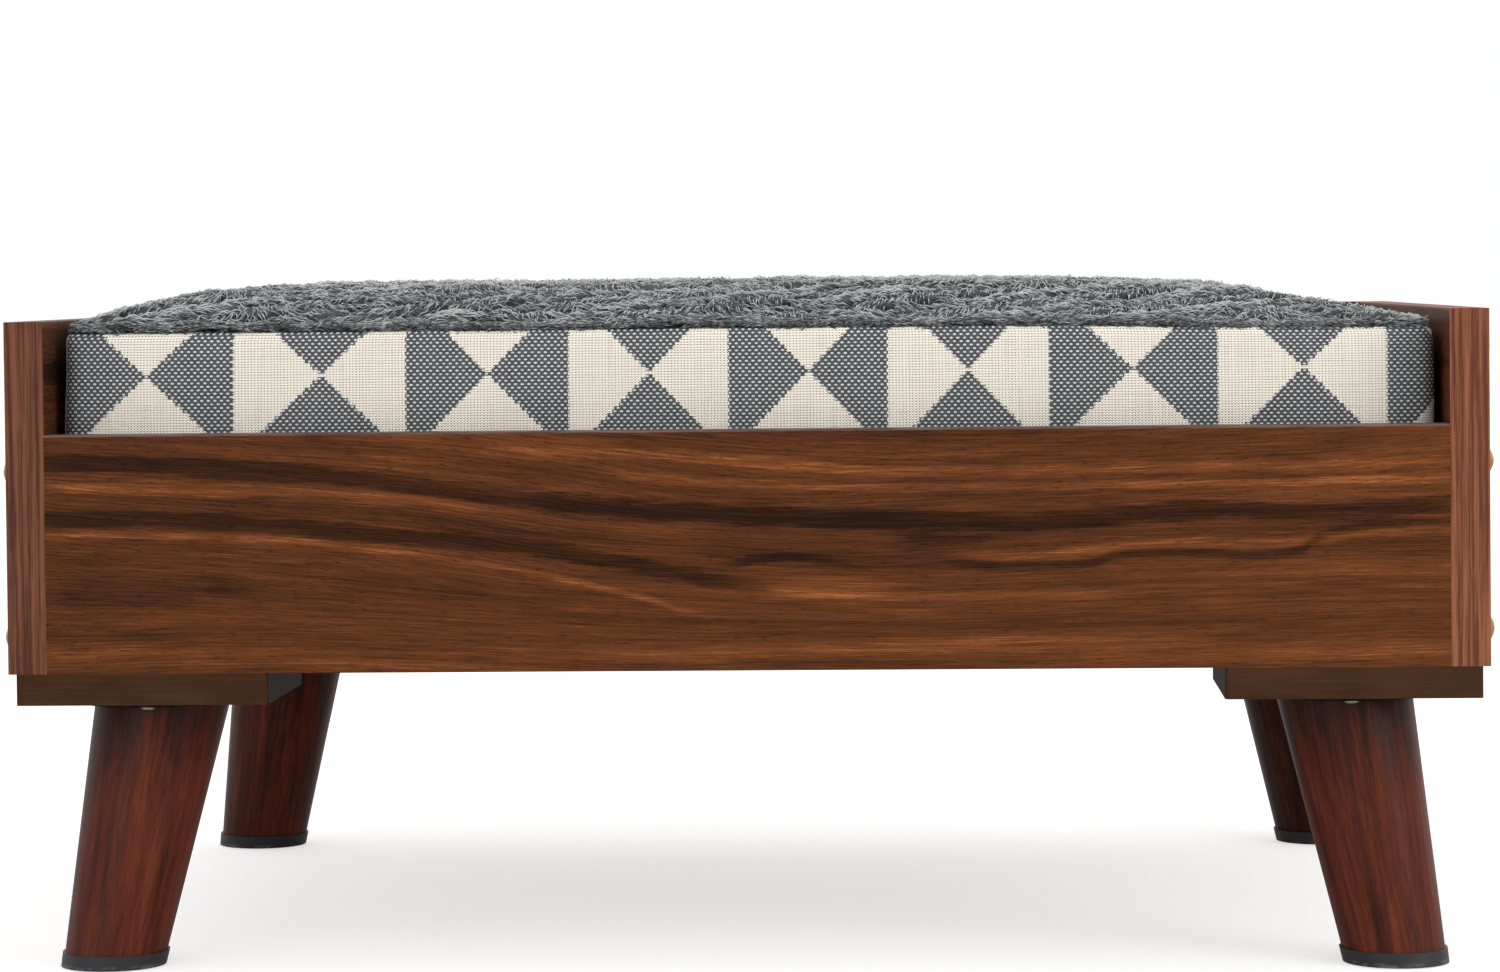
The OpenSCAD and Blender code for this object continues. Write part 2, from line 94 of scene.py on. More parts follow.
class Field:
    """A number that varies over a surface: one socket of a material, with arithmetic."""

    def __init__(self, kit: "Kit", socket: bpy.types.NodeSocket) -> None:
        """Keeps the material's kit and the socket that gives the number."""
        self.kit = kit
        self.socket = socket

    def __add__(self, other: "Field | float") -> "Field":
        """Sum."""
        return self.kit.calc("ADD", self, other)

    def __radd__(self, other: float) -> "Field":
        """Sum with a number in front."""
        return self.kit.calc("ADD", other, self)

    def __sub__(self, other: "Field | float") -> "Field":
        """Difference."""
        return self.kit.calc("SUBTRACT", self, other)

    def __rsub__(self, other: float) -> "Field":
        """Difference with a number in front."""
        return self.kit.calc("SUBTRACT", other, self)

    def __mul__(self, other: "Field | float") -> "Field":
        """Product."""
        return self.kit.calc("MULTIPLY", self, other)

    def __truediv__(self, other: "Field | float") -> "Field":
        """Quotient."""
        return self.kit.calc("DIVIDE", self, other)

    def size(self) -> "Field":
        """The value without its sign."""
        return self.kit.calc("ABSOLUTE", self)

    def whole(self) -> "Field":
        """The whole number below."""
        return self.kit.calc("FLOOR", self)

    def part(self) -> "Field":
        """What is left above the whole number below, from 0 to 1."""
        return self.kit.calc("FRACT", self)

    def odd(self) -> "Field":
        """1 where the whole number below is odd, 0 where it is even."""
        return (self.whole() * 0.5).part() * 2.0

    def above(self, other: "Field | float") -> "Field":
        """1 where this is greater than other, else 0."""
        return self.kit.calc("GREATER_THAN", self, other)

    def sine(self) -> "Field":
        """The sine of the value in radians."""
        return self.kit.calc("SINE", self)

    def most(self, other: "Field | float") -> "Field":
        """The greater of the two."""
        return self.kit.calc("MAXIMUM", self, other)

    def least(self, other: "Field | float") -> "Field":
        """The lesser of the two."""
        return self.kit.calc("MINIMUM", self, other)

    def share(self) -> "Field":
        """The value kept from 0 to 1."""
        return self.most(0.0).least(1.0)

    def ease(self, low: float, high: float) -> "Field":
        """Makes a smooth step along the value.

        Args:
            low: where the step starts.
            high: where it ends.

        Returns:
            0 up to low, 1 from high on, and smooth between them.
        """
        made = self.kit.node("ShaderNodeMapRange", interpolation_type="SMOOTHSTEP")
        self.kit.feed(made.inputs["Value"], self)
        made.inputs["From Min"].default_value = low
        made.inputs["From Max"].default_value = high
        return Field(self.kit, made.outputs[0])


class Kit:
    """The node tree of one material, with a short call for each node that the finishes use."""

    def __init__(self, name: str) -> None:
        """Starts a material with its shader and output.

        Args:
            name: the material's name.
        """
        self.material = bpy.data.materials.new(name)
        self.material.use_nodes = True
        self.tree = self.material.node_tree
        self.shader = self.tree.nodes["Principled BSDF"]

    def node(self, kind: str, **settings: object) -> bpy.types.Node:
        """Adds a node.

        Args:
            kind: the node's type.
            settings: the properties to set on it.

        Returns:
            The new node.
        """
        made = self.tree.nodes.new(kind)
        for key, value in settings.items():
            setattr(made, key, value)
        return made

    def feed(self, target: bpy.types.NodeSocket, value: object) -> None:
        """Links a field or socket to the target, or writes a plain value on it.

        Args:
            target: the input socket.
            value: a field, a socket, a number or a colour.
        """
        if isinstance(value, Field):
            value = value.socket
        if isinstance(value, bpy.types.NodeSocket):
            self.tree.links.new(value, target)
        else:
            target.default_value = value

    def calc(self, operation: str, *values: "Field | float") -> Field:
        """Does one step of arithmetic.

        Args:
            operation: the sum to do, as the math node names it.
            values: one or two fields or numbers.

        Returns:
            The result.
        """
        made = self.node("ShaderNodeMath", operation=operation)
        for target, value in zip(made.inputs, values):
            self.feed(target, value)
        return Field(self, made.outputs[0])

    def split(self, vector: bpy.types.NodeSocket) -> tuple[Field, Field, Field]:
        """Takes a vector apart.

        Args:
            vector: the socket that gives it.

        Returns:
            Its three parts.
        """
        made = self.node("ShaderNodeSeparateXYZ")
        self.feed(made.inputs[0], vector)
        return tuple(Field(self, out) for out in made.outputs)

    def join(self, parts: tuple) -> bpy.types.NodeSocket:
        """Makes a vector.

        Args:
            parts: three fields or numbers.

        Returns:
            The vector's socket.
        """
        made = self.node("ShaderNodeCombineXYZ")
        for target, value in zip(made.inputs, parts):
            self.feed(target, value)
        return made.outputs[0]

    def place(self) -> tuple[Field, Field, Field]:
        """X, Y and Z of the surface point, in metres."""
        return self.split(self.node("ShaderNodeTexCoord").outputs["Object"])

    def ruler(self, grain: Grain | None = None) -> tuple[Field, Field, Field]:
        """Measures the surface point in millimetres.

        Args:
            grain: which way the wood runs, if it is wood.

        Returns:
            X, Y and Z, or the point's places along, across and through the grain.
        """
        spot = self.place()
        return tuple(spot[axis] / MM for axis in (grain.value if grain else range(3)))

    def cloth(self) -> tuple[Field, ...]:
        """U and V of the piece's own map, in millimetres."""
        spot = self.split(self.node("ShaderNodeUVMap", uv_map="UVMap").outputs["UV"])
        return tuple(part / MM for part in spot[:2])

    def attribute(self, name: str) -> Field:
        """A number stored on the mesh."""
        return Field(self, self.node("ShaderNodeAttribute", attribute_name=name).outputs["Fac"])

    def noise(self, parts: tuple, detail: float = 2.0, rough: float = 0.5, twist: float = 0.0) -> Field:
        """Makes smooth seeded variation around one half.

        Args:
            parts: three fields or numbers, already scaled so that a lump is about 1 wide.
            detail: how many finer layers are added.
            rough: how strong the finer layers are.
            twist: how far the pattern is pushed about.

        Returns:
            The variation, about 0.2 to 0.8.
        """
        spot = self.join(parts)
        made = self.node("ShaderNodeTexNoise")
        self.feed(made.inputs["Vector"], spot)
        made.inputs["Scale"].default_value = 1.0
        made.inputs["Detail"].default_value = detail
        made.inputs["Roughness"].default_value = rough
        made.inputs["Distortion"].default_value = twist
        return Field(self, made.outputs[0])

    def cells(self, parts: tuple) -> Field:
        """Makes scattered cells, for the bubbles in foam.

        Args:
            parts: three fields or numbers, already scaled so that a cell is about 1 wide.

        Returns:
            The distance to the nearest of many scattered points.
        """
        spot = self.join(parts)
        made = self.node("ShaderNodeTexVoronoi", feature="F1")
        self.feed(made.inputs["Vector"], spot)
        made.inputs["Scale"].default_value = 1.0
        return Field(self, made.outputs["Distance"])

    def path(self, value: Field, points: tuple, low: Pair, high: Pair) -> Field:
        """Draws a smooth line through a few points.

        Args:
            value: the position along the line.
            points: (along, across) pairs.
            low: the lowest along and across.
            high: the highest along and across.

        Returns:
            The line's across at that position.
        """
        made = self.node("ShaderNodeFloatCurve")
        curve = made.mapping.curves[0]
        long, tall = high[0] - low[0], high[1] - low[1]
        while len(curve.points) < len(points):
            curve.points.new(0.5, 0.5)
        for target, (along, across) in zip(curve.points, points):
            target.location = ((along - low[0]) / long, (across - low[1]) / tall)
        made.mapping.update()
        self.feed(made.inputs["Value"], (value - low[0]) / long)
        return Field(self, made.outputs[0]) * tall + low[1]

    def ramp(self, value: Field, stops: tuple) -> bpy.types.NodeSocket:
        """Spreads colours along a value.

        Args:
            value: where along the colours, from 0 to 1.
            stops: (position, colour) pairs.

        Returns:
            The colour socket.
        """
        made = self.node("ShaderNodeValToRGB")
        stretch = made.color_ramp.elements
        while len(stretch) < len(stops):
            stretch.new(0.5)
        for target, (position, colour) in zip(stretch, stops):
            target.position = position
            target.color = colour
        self.feed(made.inputs[0], value)
        return made.outputs[0]

    def blend(self, share: Field, first: object, second: object) -> bpy.types.NodeSocket:
        """Mixes two colours, or two fields as grey.

        Args:
            share: how much of the second there is, from 0 to 1.
            first, second: colours, sockets or fields.

        Returns:
            The mixed colour's socket.
        """
        made = self.node("ShaderNodeMix", data_type="RGBA")
        for index, value in zip(MIX_COLOUR_INPUTS, (share, first, second)):
            self.feed(made.inputs[index], value)
        return made.outputs[MIX_COLOUR_OUTPUT]

    def relief(self, height: Field, depth: float, normal: object = None) -> bpy.types.NodeSocket:
        """Raises the surface.

        Args:
            height: from 0 to 1.
            depth: how far height 1 stands proud, in metres.
            normal: the relief that this one lies on, if there is one.

        Returns:
            The surface direction's socket.
        """
        made = self.node("ShaderNodeBump")
        self.feed(made.inputs["Height"], height)
        made.inputs["Distance"].default_value = depth
        made.inputs["Strength"].default_value = 1.0
        if normal is not None:
            self.feed(made.inputs["Normal"], normal)
        return made.outputs[0]

    def finish(self, **inputs: object) -> bpy.types.Material:
        """Feeds the shader.

        Args:
            inputs: values by the sockets' names, with underscores for spaces.

        Returns:
            The material.
        """
        for key, value in inputs.items():
            self.feed(self.shader.inputs[key.replace("_", " ")], value)
        return self.material


# ---------------------------------------------------------------- finishes


@dataclass(frozen=True)
class Streak:
    """One dark or glowing line of grain.

    Its points are (along, across) in millimetres. It is solid to half its width, fades over soft,
    and darkens (shade below 0) or lightens the wood. A larger ragged frays its edges more.
    """

    points: tuple
    half: float
    soft: float
    shade: float
    ragged: float = 1.6


WOOD_TONES = (
    (0.00, tint(36, 21, 11)),
    (0.25, tint(62, 35, 18)),
    (0.50, tint(90, 51, 27)),
    (0.74, tint(117, 66, 36)),
    (1.00, tint(166, 99, 55)),
)


@dataclass(frozen=True)
class PrintedWalnut:
    """Walnut-print laminate: broad figure, stripes, fibres and pores, with its own dark streaks.

    The flow is a line that the figure follows, tone is the mean shade, drift is a painted light: how
    much lighter the board gets for each millimetre towards the right, where the key lamp stands; and
    span is the lowest and highest (along, across) of its lines.
    """

    name: str
    grain: Grain
    seed: float
    streaks: tuple = ()
    flow: tuple = ()
    tone: float = 0.50
    painted_light_drift: float = 0.0
    span: tuple = ((-300.0, 100.0), (300.0, 300.0))
    flow_rise: Pair = (118.0, 172.0)
    bend: float = 15.0
    fray: float = 5.0
    rough: float = 0.42

    def make(self) -> bpy.types.Material:
        """Builds the laminate: tone is the sum of four scales of grain and the streaks.

        Returns:
            The material.
        """
        kit = Kit(self.name)
        along, across, through = kit.ruler(self.grain)
        low, high = self.span
        level = across + (kit.noise((along / 210.0, across / 60.0, self.seed), 1.0) - 0.5) * self.bend
        if self.flow:
            sag = kit.path(along, self.flow, low, high) - self.flow[0][1]
            level = level - sag * across.ease(*self.flow_rise)
        deep = through / 40.0 + self.seed
        broad = kit.noise((along / 330.0, level / 17.0, deep), 3.0, 0.55)
        stripe = kit.noise((along / 170.0, level / 3.6, deep + 3.0), 3.0, 0.6)
        fibre = kit.noise((along / 26.0, level / 0.75, deep + 7.0), 3.0, 0.65)
        pore = kit.noise((along / 5.5, level / 0.50, deep + 11.0), 1.0).ease(0.58, 0.70)
        patch = kit.noise((along / 60.0, level / 9.0, deep + 17.0), 2.0)
        tone = self.tone + (broad - 0.5) * 0.62 + (stripe - 0.5) * 0.52 + (fibre - 0.5) * 1.0
        # painted light: the along term lightens the board steadily towards the right, where the key lamp
        # stands
        tone = tone + (patch - 0.5) * 0.30 + along * self.painted_light_drift
        edge = kit.noise((along / 30.0, across / 1.5, self.seed + 5.0), 4.0, 0.7) - 0.5
        for line in self.streaks:
            middle = kit.path(along, line.points, low, high)
            away = (across - middle).size() + edge * (line.ragged * self.fray)
            start, end = line.points[0][0], line.points[-1][0]
            reach = along.ease(start - 8.0, start + 14.0)
            fade = 1.0 - along.ease(end - 26.0, end + 8.0)
            inside = 1.0 - away.ease(line.half, line.half + line.soft)
            tone = tone + inside * reach * fade * (patch * 0.9 + fibre * 0.5 + 0.3) * line.shade
        tone = tone - pore * (0.10 + stripe * 0.24)
        colour = kit.ramp(tone, WOOD_TONES)
        height = tone * 0.5 + fibre * 0.5
        return kit.finish(
            Base_Color=colour,
            Roughness=self.rough + (fibre - 0.5) * 0.30 + pore * 0.10,
            Specular_IOR_Level=0.05,
            Normal=kit.relief(height, 0.00009),
        )


@dataclass(frozen=True)
class EdgeBand:
    """Lipping tape on a board's edge: pale pinkish brown with thin lengthwise lines."""

    name: str
    grain: Grain
    light: Colour
    dark: Colour
    seed: float = 0.0

    def make(self) -> bpy.types.Material:
        """Builds the tape from two scales of long lines.

        Returns:
            The material.
        """
        kit = Kit(self.name)
        along, across, through = kit.ruler(self.grain)
        line = kit.noise((along / 90.0, across / 1.6 + self.seed, through / 1.6), 3.0, 0.6, 0.3)
        fine = kit.noise((along / 14.0, across / 0.5, through / 0.5 + self.seed), 2.0)
        share = ((line - 0.5) * 4.2 + (fine - 0.5) * 1.6 + 0.46).share()
        return kit.finish(
            Base_Color=kit.blend(share, self.dark, self.light),
            Roughness=0.40 + fine * 0.15,
            Specular_IOR_Level=0.12,
            Normal=kit.relief(line, 0.00008),
        )


@dataclass(frozen=True)
class BareTimber:
    """Plain timber for what lies under the mattress; plies is a plywood layer's thickness."""

    name: str
    grain: Grain
    pale: Colour
    dark: Colour
    plies: float = 0.0

    def make(self) -> bpy.types.Material:
        """Builds the timber: rings as a noise stretched along the grain, and plies through it.

        Returns:
            The material.
        """
        kit = Kit(self.name)
        along, across, through = kit.ruler(self.grain)
        ring = kit.noise((along / 120.0, across / 5.0, through / 5.0), 3.0, 0.6, 0.5)
        fibre = kit.noise((along / 18.0, across / 0.7, through / 0.7), 2.0)
        share = (ring - 0.5) * 2.4 + (fibre - 0.5) * 0.9 + 0.45
        if self.plies:
            layer = (through / self.plies).odd()
            share = share + layer * 0.12
        return kit.finish(
            Base_Color=kit.blend(share.share(), self.pale, self.dark),
            Roughness=0.62 + fibre * 0.2,
            Normal=kit.relief(fibre, 0.0001),
        )


@dataclass(frozen=True)
class BlockPaint:
    """Satin brown paint over a sanded block: faint brush marks, and painted shade on the inner end face
    at x = end.
    """

    name: str
    base: Colour
    worn: Colour
    end: float
    # painted shade: the dark brown laid on the inner end face, which faces in under the bed
    painted_end_shade: Colour = tint(22, 14, 9)

    def make(self) -> bpy.types.Material:
        """Builds the paint from brush lines, an orange-peel grain and a painted shade on the inner end
        face.

        Returns:
            The material.
        """
        kit = Kit(self.name)
        x, y, z = kit.ruler()
        brush = kit.noise((x / 40.0, y / 2.0, z / 1.6), 3.0, 0.6)
        cloud = kit.noise((x / 30.0, y / 30.0, z / 12.0), 2.0)
        peel = kit.noise((x / 0.9, y / 0.9, z / 0.9), 1.0)
        share = ((brush - 0.5) * 1.2 + (cloud - 0.5) * 1.2 + 0.35).share()
        # painted shade: darkens the inner end face, fading out just past it
        end_shade_share = (1.0 - x.size().ease(self.end + 0.1, self.end + 0.5)) * 0.55
        colour = kit.blend(share, self.base, self.worn)
        colour = kit.blend(end_shade_share, colour, self.painted_end_shade)
        normal = kit.relief(peel, 0.00008)
        return kit.finish(
            Base_Color=colour,
            Roughness=0.52 + (brush - 0.5) * 0.2,
            Specular_IOR_Level=0.02,
            Normal=kit.relief(brush, 0.00012, normal),
        )


@dataclass(frozen=True)
class TurnedLeg:
    """Stained and lacquered leg: stripes run with the leg's own slope, under a thin clear coat.

    The leg's centre line starts at foot and moves by lean for each metre up. The colour is darker by
    shade all over, a painted shade for the legs that stand in the bed's shadow, and by
    painted_block_shadow towards the plate, a painted shadow of the block.
    """

    name: str
    foot: Point
    lean: Pair
    seed: float
    # painted shade: the next two numbers darken the whole leg, for legs in the bed's shadow, and its
    # top, in the block's shadow
    shade: float = 0.0
    painted_block_shadow: float = 0.20
    tones: tuple = (
        (0.0, tint(26, 12, 8)),
        (0.3, tint(56, 25, 15)),
        (0.55, tint(88, 38, 22)),
        (0.8, tint(112, 54, 34)),
        (1.0, tint(138, 76, 52)),
    )

    def make(self) -> bpy.types.Material:
        """Builds the stained colour with its painted shade. Across coordinates are measured from the
        leaning centre line.

        Returns:
            The material.
        """
        kit = Kit(self.name)
        x, y, z = kit.place()
        a = (x - self.foot[0] - z * self.lean[0]) / MM
        b = (y - self.foot[1] - z * self.lean[1]) / MM
        z = z / MM
        ring = kit.noise((a / 8.5, b / 8.5, z / 150.0 + self.seed), 2.0, 0.5, 0.3)
        stripe = kit.noise((a / 2.3, b / 2.3, z / 80.0 + self.seed), 3.0, 0.6)
        fibre = kit.noise((a / 0.7, b / 0.7, z / 14.0 + self.seed), 2.0)
        pore = kit.noise((a / 0.5, b / 0.5, z / 5.0), 1.0).ease(0.62, 0.74)
        tone = 0.50 + (ring - 0.5) * 0.75 + (stripe - 0.5) * 0.60 + (fibre - 0.5) * 0.40 - pore * 0.12
        # painted shade: darker towards the block above, and darker all over by the leg's own shade
        tone = tone - z.ease(62.0, 112.0) * self.painted_block_shadow - self.shade
        return kit.finish(
            Base_Color=kit.ramp(tone, self.tones),
            Roughness=0.38 + (stripe - 0.5) * 0.20,
            Normal=kit.relief(tone, 0.00008),
            Specular_IOR_Level=0.06,
            Coat_Weight=0.12,
            Coat_Roughness=0.24,
        )


@dataclass(frozen=True)
class Metal:
    """Plated or bare metal with fine tool marks and a little tarnish."""

    name: str
    base: Colour
    tarnish: Colour
    rough: float = 0.3

    def make(self) -> bpy.types.Material:
        """Builds the metal: cloudy tarnish, and scratches as a long thin noise.

        Returns:
            The material.
        """
        kit = Kit(self.name)
        x, y, z = kit.ruler()
        cloud = kit.noise((x / 3.0, y / 3.0, z / 3.0), 3.0, 0.6)
        mark = kit.noise((x / 0.3, y / 6.0, z / 0.4), 2.0)
        share = ((cloud - 0.5) * 2.0 + 0.4).share()
        return kit.finish(
            Base_Color=kit.blend(share, self.base, self.tarnish),
            Metallic=1.0,
            Roughness=self.rough + (cloud - 0.5) * 0.25 + (mark - 0.5) * 0.12,
            Normal=kit.relief(mark, 0.00004),
        )


@dataclass(frozen=True)
class MouldedPlastic:
    """Hard moulded plastic with a fine grain, scuffed near the floor."""

    name: str
    base: Colour
    scuff: Colour

    def make(self) -> bpy.types.Material:
        """Builds the plastic; scuffs fade out 2.6 mm above the floor.

        Returns:
            The material.
        """
        kit = Kit(self.name)
        x, y, z = kit.ruler()
        grain = kit.noise((x / 0.6, y / 0.6, z / 0.6), 2.0)
        patch = kit.noise((x / 6.0, y / 6.0, z / 2.0), 3.0, 0.6)
        low = 1.0 - z.ease(0.3, 2.6)
        share = (patch.ease(0.45, 0.65) * low * 0.6).most(0.0)
        return kit.finish(
            Base_Color=kit.blend(share, self.base, self.scuff),
            Roughness=0.36 + grain * 0.12,
            Specular_IOR_Level=0.3,
            Normal=kit.relief(grain, 0.00005),
        )


@dataclass(frozen=True)
class FoamSkin:
    """Cut foam: open cells as scattered pits, darkened by painted shade, and a colour that clouds
    gently.
    """

    name: str
    base: Colour
    deep: Colour
    cell: float = 1.3
    large_cell: float = 3.1

    def make(self) -> bpy.types.Material:
        """Builds the foam from two sizes of cell.

        Returns:
            The material.
        """
        kit = Kit(self.name)
        x, y, z = kit.ruler()
        wide = self.large_cell * self.cell
        small = kit.cells((x / self.cell, y / self.cell, z / self.cell))
        large = kit.cells((x / wide, y / wide, z / wide))
        cloud = kit.noise((x / 40.0, y / 40.0, z / 20.0), 2.0)
        pit = 1.0 - small.ease(0.0, 0.45)
        bubble = 1.0 - large.ease(0.0, 0.3)
        # painted shade: the pits of the small and large cells are darker; the cloud is the foam's own
        # tone
        share = (pit * 0.6 + bubble * 0.5 + (cloud - 0.5) * 0.6).share()
        return kit.finish(
            Base_Color=kit.blend(share, self.base, self.deep),
            Roughness=0.9,
            Normal=kit.relief(small, 0.0005),
        )


@dataclass(frozen=True)
class PlushBed:
    """The knitted ground and matted pile between the strands, with painted shade darkening the valleys.
    """

    name: str
    tones: tuple = (
        (0.0, tint(22, 25, 26)),
        (0.35, tint(52, 57, 59)),
        (0.7, tint(98, 103, 104)),
        (1.0, tint(146, 151, 151)),
    )

    def make(self) -> bpy.types.Material:
        """Builds the ground: the mesh's depth sets a painted shade, darker in the valleys and under the
        lip, with hair-like noise over it.

        Returns:
            The material.
        """
        kit = Kit(self.name)
        x, y, z = kit.ruler()
        depth = kit.attribute("depth")
        hair = kit.noise((x / 3.0, y / 0.8, z / 0.8), 3.0, 0.7, 1.0)
        cloud = kit.noise((x / 30.0, y / 24.0, z / 10.0), 2.0)
        # painted shade: low ground and the lip's underside are darker; hair and cloud are the pile's own
        # tone
        tone = depth * 0.55 + (hair - 0.5) * 0.9 + (cloud - 0.5) * 0.5 + 0.12
        return kit.finish(
            Base_Color=kit.ramp(tone, self.tones),
            Roughness=0.9,
            Specular_IOR_Level=0.05,
            Normal=kit.relief(hair, 0.0012),
        )


@dataclass(frozen=True)
class PlushStrand:
    """Strands of one shade: darker at the root, with a soft halo."""

    name: str
    root: Colour
    tip: Colour

    def make(self) -> bpy.types.Material:
        """Builds the strand's colour from where along it a point lies.

        Returns:
            The material.
        """
        kit = Kit(self.name)
        x, y, z = kit.ruler()
        reach = kit.attribute("reach")
        cloud = kit.noise((x / 20.0, y / 16.0, z / 8.0), 2.0)
        share = (reach * 0.9 + (cloud - 0.5) * 0.8).share()
        return kit.finish(
            Base_Color=kit.blend(share, self.root, self.tip),
            Roughness=0.68,
            Specular_IOR_Level=0.2,
            Sheen_Weight=0.06,
            Sheen_Roughness=0.4,
        )


@dataclass(frozen=True)
class PatternCanvas:
    """Woven canvas of squares cut by their diagonals, charcoal with cream knots against cream.

    Sizes are in millimetres. A pull is (from, to, how much longer): a smooth step in how far the
    cloth is stretched along the front.
    """

    name: str
    square: float = 68.4
    start: float = -6.3
    corner_pull: float = 5.6
    pulls: tuple = (
        (-292.0, -178.0, -5.6),
        (-200.0, -150.0, -2.5),
        (-110.0, 150.0, 6.6),
        (140.0, 240.0, -2.2),
    )
    crossing: float = 247.5
    wander: float = 0.30
    knot_w: float = 2.74
    knot_h: float = 1.46
    serration: float = 0.60
    thread_u: float = 1.37
    thread_v: float = 1.10
    dark: Colour = tint(70, 73, 76)
    faded: Colour = tint(100, 103, 105)
    knot: Colour = tint(216, 217, 215)
    cream: Colour = tint(250, 243, 230)
    shadow: Colour = tint(134, 124, 106)

    def make(self) -> bpy.types.Material:
        """Builds the cloth.

        A square is dark left and right of its diagonals and cream above and below, and its
        neighbours are the other way round. Zone edges step with the rows of threads. The cloth is
        pulled a little longer round the front left corner, and unevenly along the front. Dark zones
        carry cream knots laid like bricks; cream zones are a plain weave.

        Returns:
            The material, which reads the piece's own map in metres.
        """
        kit = Kit(self.name)
        u, v = kit.cloth()
        u = u + (kit.noise((u / 14.0, v / 14.0, 0.0), 2.0) - 0.5) * self.wander
        v = v + (kit.noise((u / 17.0, v / 17.0, 4.0), 2.0) - 0.5) * self.wander

        row = (v / self.knot_h).whole()
        brick = (row + PLUS_EVEN).odd()
        pulled = u + self.corner_pull
        for low, high, more in self.pulls:
            pulled = pulled + u.ease(low, high) * more
        across = (pulled + (brick - 0.5) * self.serration - self.start) / self.square
        up = ((row + 0.5) * self.knot_h - (self.crossing - self.square * 0.5)) / self.square
        side = (across.part() - 0.5).size()
        rise = (up.part() - 0.5).size()
        lean = side.above(rise)
        turn = (across.whole() + up.whole() + PLUS_EVEN).odd()
        dark = (lean - turn).size()

        du = ((u / self.knot_w + brick * 0.5).part() - 0.5) * self.knot_w
        dv = ((v / self.knot_h).part() - 0.5) * self.knot_h
        jitter = kit.noise((u / 2.3, v / 2.3, 9.0), 1.0) - 0.5
        away = du * du / 0.56 + dv * dv / 0.20 + jitter * 0.9
        knot = 1.0 - away.ease(0.45, 1.25)

        wave_u = (u * (TURN / self.thread_u)).sine()
        wave_v = (v * (TURN / self.thread_v)).sine()
        weave = (wave_u * wave_v) * 0.5 + 0.5
        hole = wave_u.ease(0.05, 0.85) * wave_v.ease(0.05, 0.85)
        gap = wave_v.ease(0.35, 1.0)
        slub = kit.noise((u / 26.0, v / 0.8, 2.0), 2.0) - 0.5
        warp = kit.noise((u / 0.9, v / 30.0, 6.0), 2.0) - 0.5
        gloom = (hole * 1.1 + gap * 0.38 + (slub + warp) * 0.60 - 0.04).share()
        cream = kit.blend(gloom, self.cream, self.shadow)
        tone = ((slub + warp) * 0.9 + 0.35).share()
        ground = kit.blend(tone, self.dark, self.faded)
        ground = kit.blend(knot, ground, self.knot)
        colour = kit.blend(dark, cream, ground)
        height = Field(kit, kit.blend(dark, weave, knot))
        return kit.finish(
            Base_Color=colour,
            Roughness=0.86,
            Specular_IOR_Level=0.1,
            Normal=kit.relief(height, 0.0003),
        )


@dataclass(frozen=True)
class PlainCloth:
    """Plain dark base cloth or zip tape: a fine rib with a little lint."""

    name: str
    base: Colour
    light: Colour
    rib: float = 1.0

    def make(self) -> bpy.types.Material:
        """Builds the cloth from crossed ribs at the thread pitch.

        Returns:
            The material.
        """
        kit = Kit(self.name)
        x, y, z = kit.ruler()
        turn = TURN / self.rib
        ribs = ((x * turn).sine() * ((y + z) * turn).sine()) * 0.5 + 0.5
        lint = kit.noise((x / 1.5, y / 1.5, z / 1.5), 3.0, 0.7)
        cloud = kit.noise((x / 60.0, y / 60.0, z / 30.0), 2.0)
        # painted shade: the rib crests are lighter and the hollows darker; lint and cloud are the
        # cloth's own tone
        share = (ribs * 0.4 + (lint - 0.5) * 0.8 + (cloud - 0.5) * 0.6).share()
        return kit.finish(
            Base_Color=kit.blend(share, self.base, self.light),
            Roughness=0.85,
            Normal=kit.relief(ribs, 0.0002),
        )


# ---------------------------------------------------------------- surfaces


def grid_faces(rows: int, columns: int, loop: bool = False) -> np.ndarray:
    """Numbers the four corners of each cell of a grid of points.

    Args:
        rows, columns: how many points there are each way, stored row by row.
        loop: whether the last column joins the first.

    Returns:
        An array of cells by 4, running anticlockwise as rows go up and columns go right.
    """
    across = columns if loop else columns - 1
    row = np.arange(rows - 1)[:, None]
    column = np.arange(across)[None, :]
    after = (column + 1) % columns
    corners = (row * columns + column, row * columns + after)
    above = ((row + 1) * columns + after, (row + 1) * columns + column)
    cells = [np.broadcast_to(corner, (rows - 1, across)) for corner in corners + above]
    return np.stack(cells, -1).reshape(-1, 4)


def make_mesh(name: str, points: np.ndarray, faces: list) -> bpy.types.Object:
    """Makes a smooth object at the origin from arrays of points and faces.

    Args:
        name: the piece's name.
        points: n by 3, in metres.
        faces: arrays of face corners, one array for each number of corners.

    Returns:
        The new object, in the scene.
    """
    sizes = np.concatenate([np.full(len(part), part.shape[1]) for part in faces])
    corners = np.concatenate([part.reshape(-1) for part in faces]).astype(np.int32)
    mesh = bpy.data.meshes.new(name)
    mesh.vertices.add(len(points))
    mesh.vertices.foreach_set("co", np.asarray(points, np.float32).reshape(-1))
    mesh.loops.add(len(corners))
    mesh.loops.foreach_set("vertex_index", corners)
    mesh.polygons.add(len(sizes))
    starts = np.concatenate([[0], np.cumsum(sizes)[:-1]]).astype(np.int32)
    mesh.polygons.foreach_set("loop_start", starts)
    mesh.polygons.foreach_set("use_smooth", np.full(len(sizes), True))
    mesh.update(calc_edges=True)
    mesh.validate()
    made = bpy.data.objects.new(name, mesh)
    bpy.context.scene.collection.objects.link(made)
    return made


def give_number(piece: bpy.types.Object, name: str, values: np.ndarray) -> None:
    """Stores one number, by that name, on each point of a piece."""
    made = piece.data.attributes.new(name, "FLOAT", "POINT")
    made.data.foreach_set("value", np.asarray(values, np.float32))


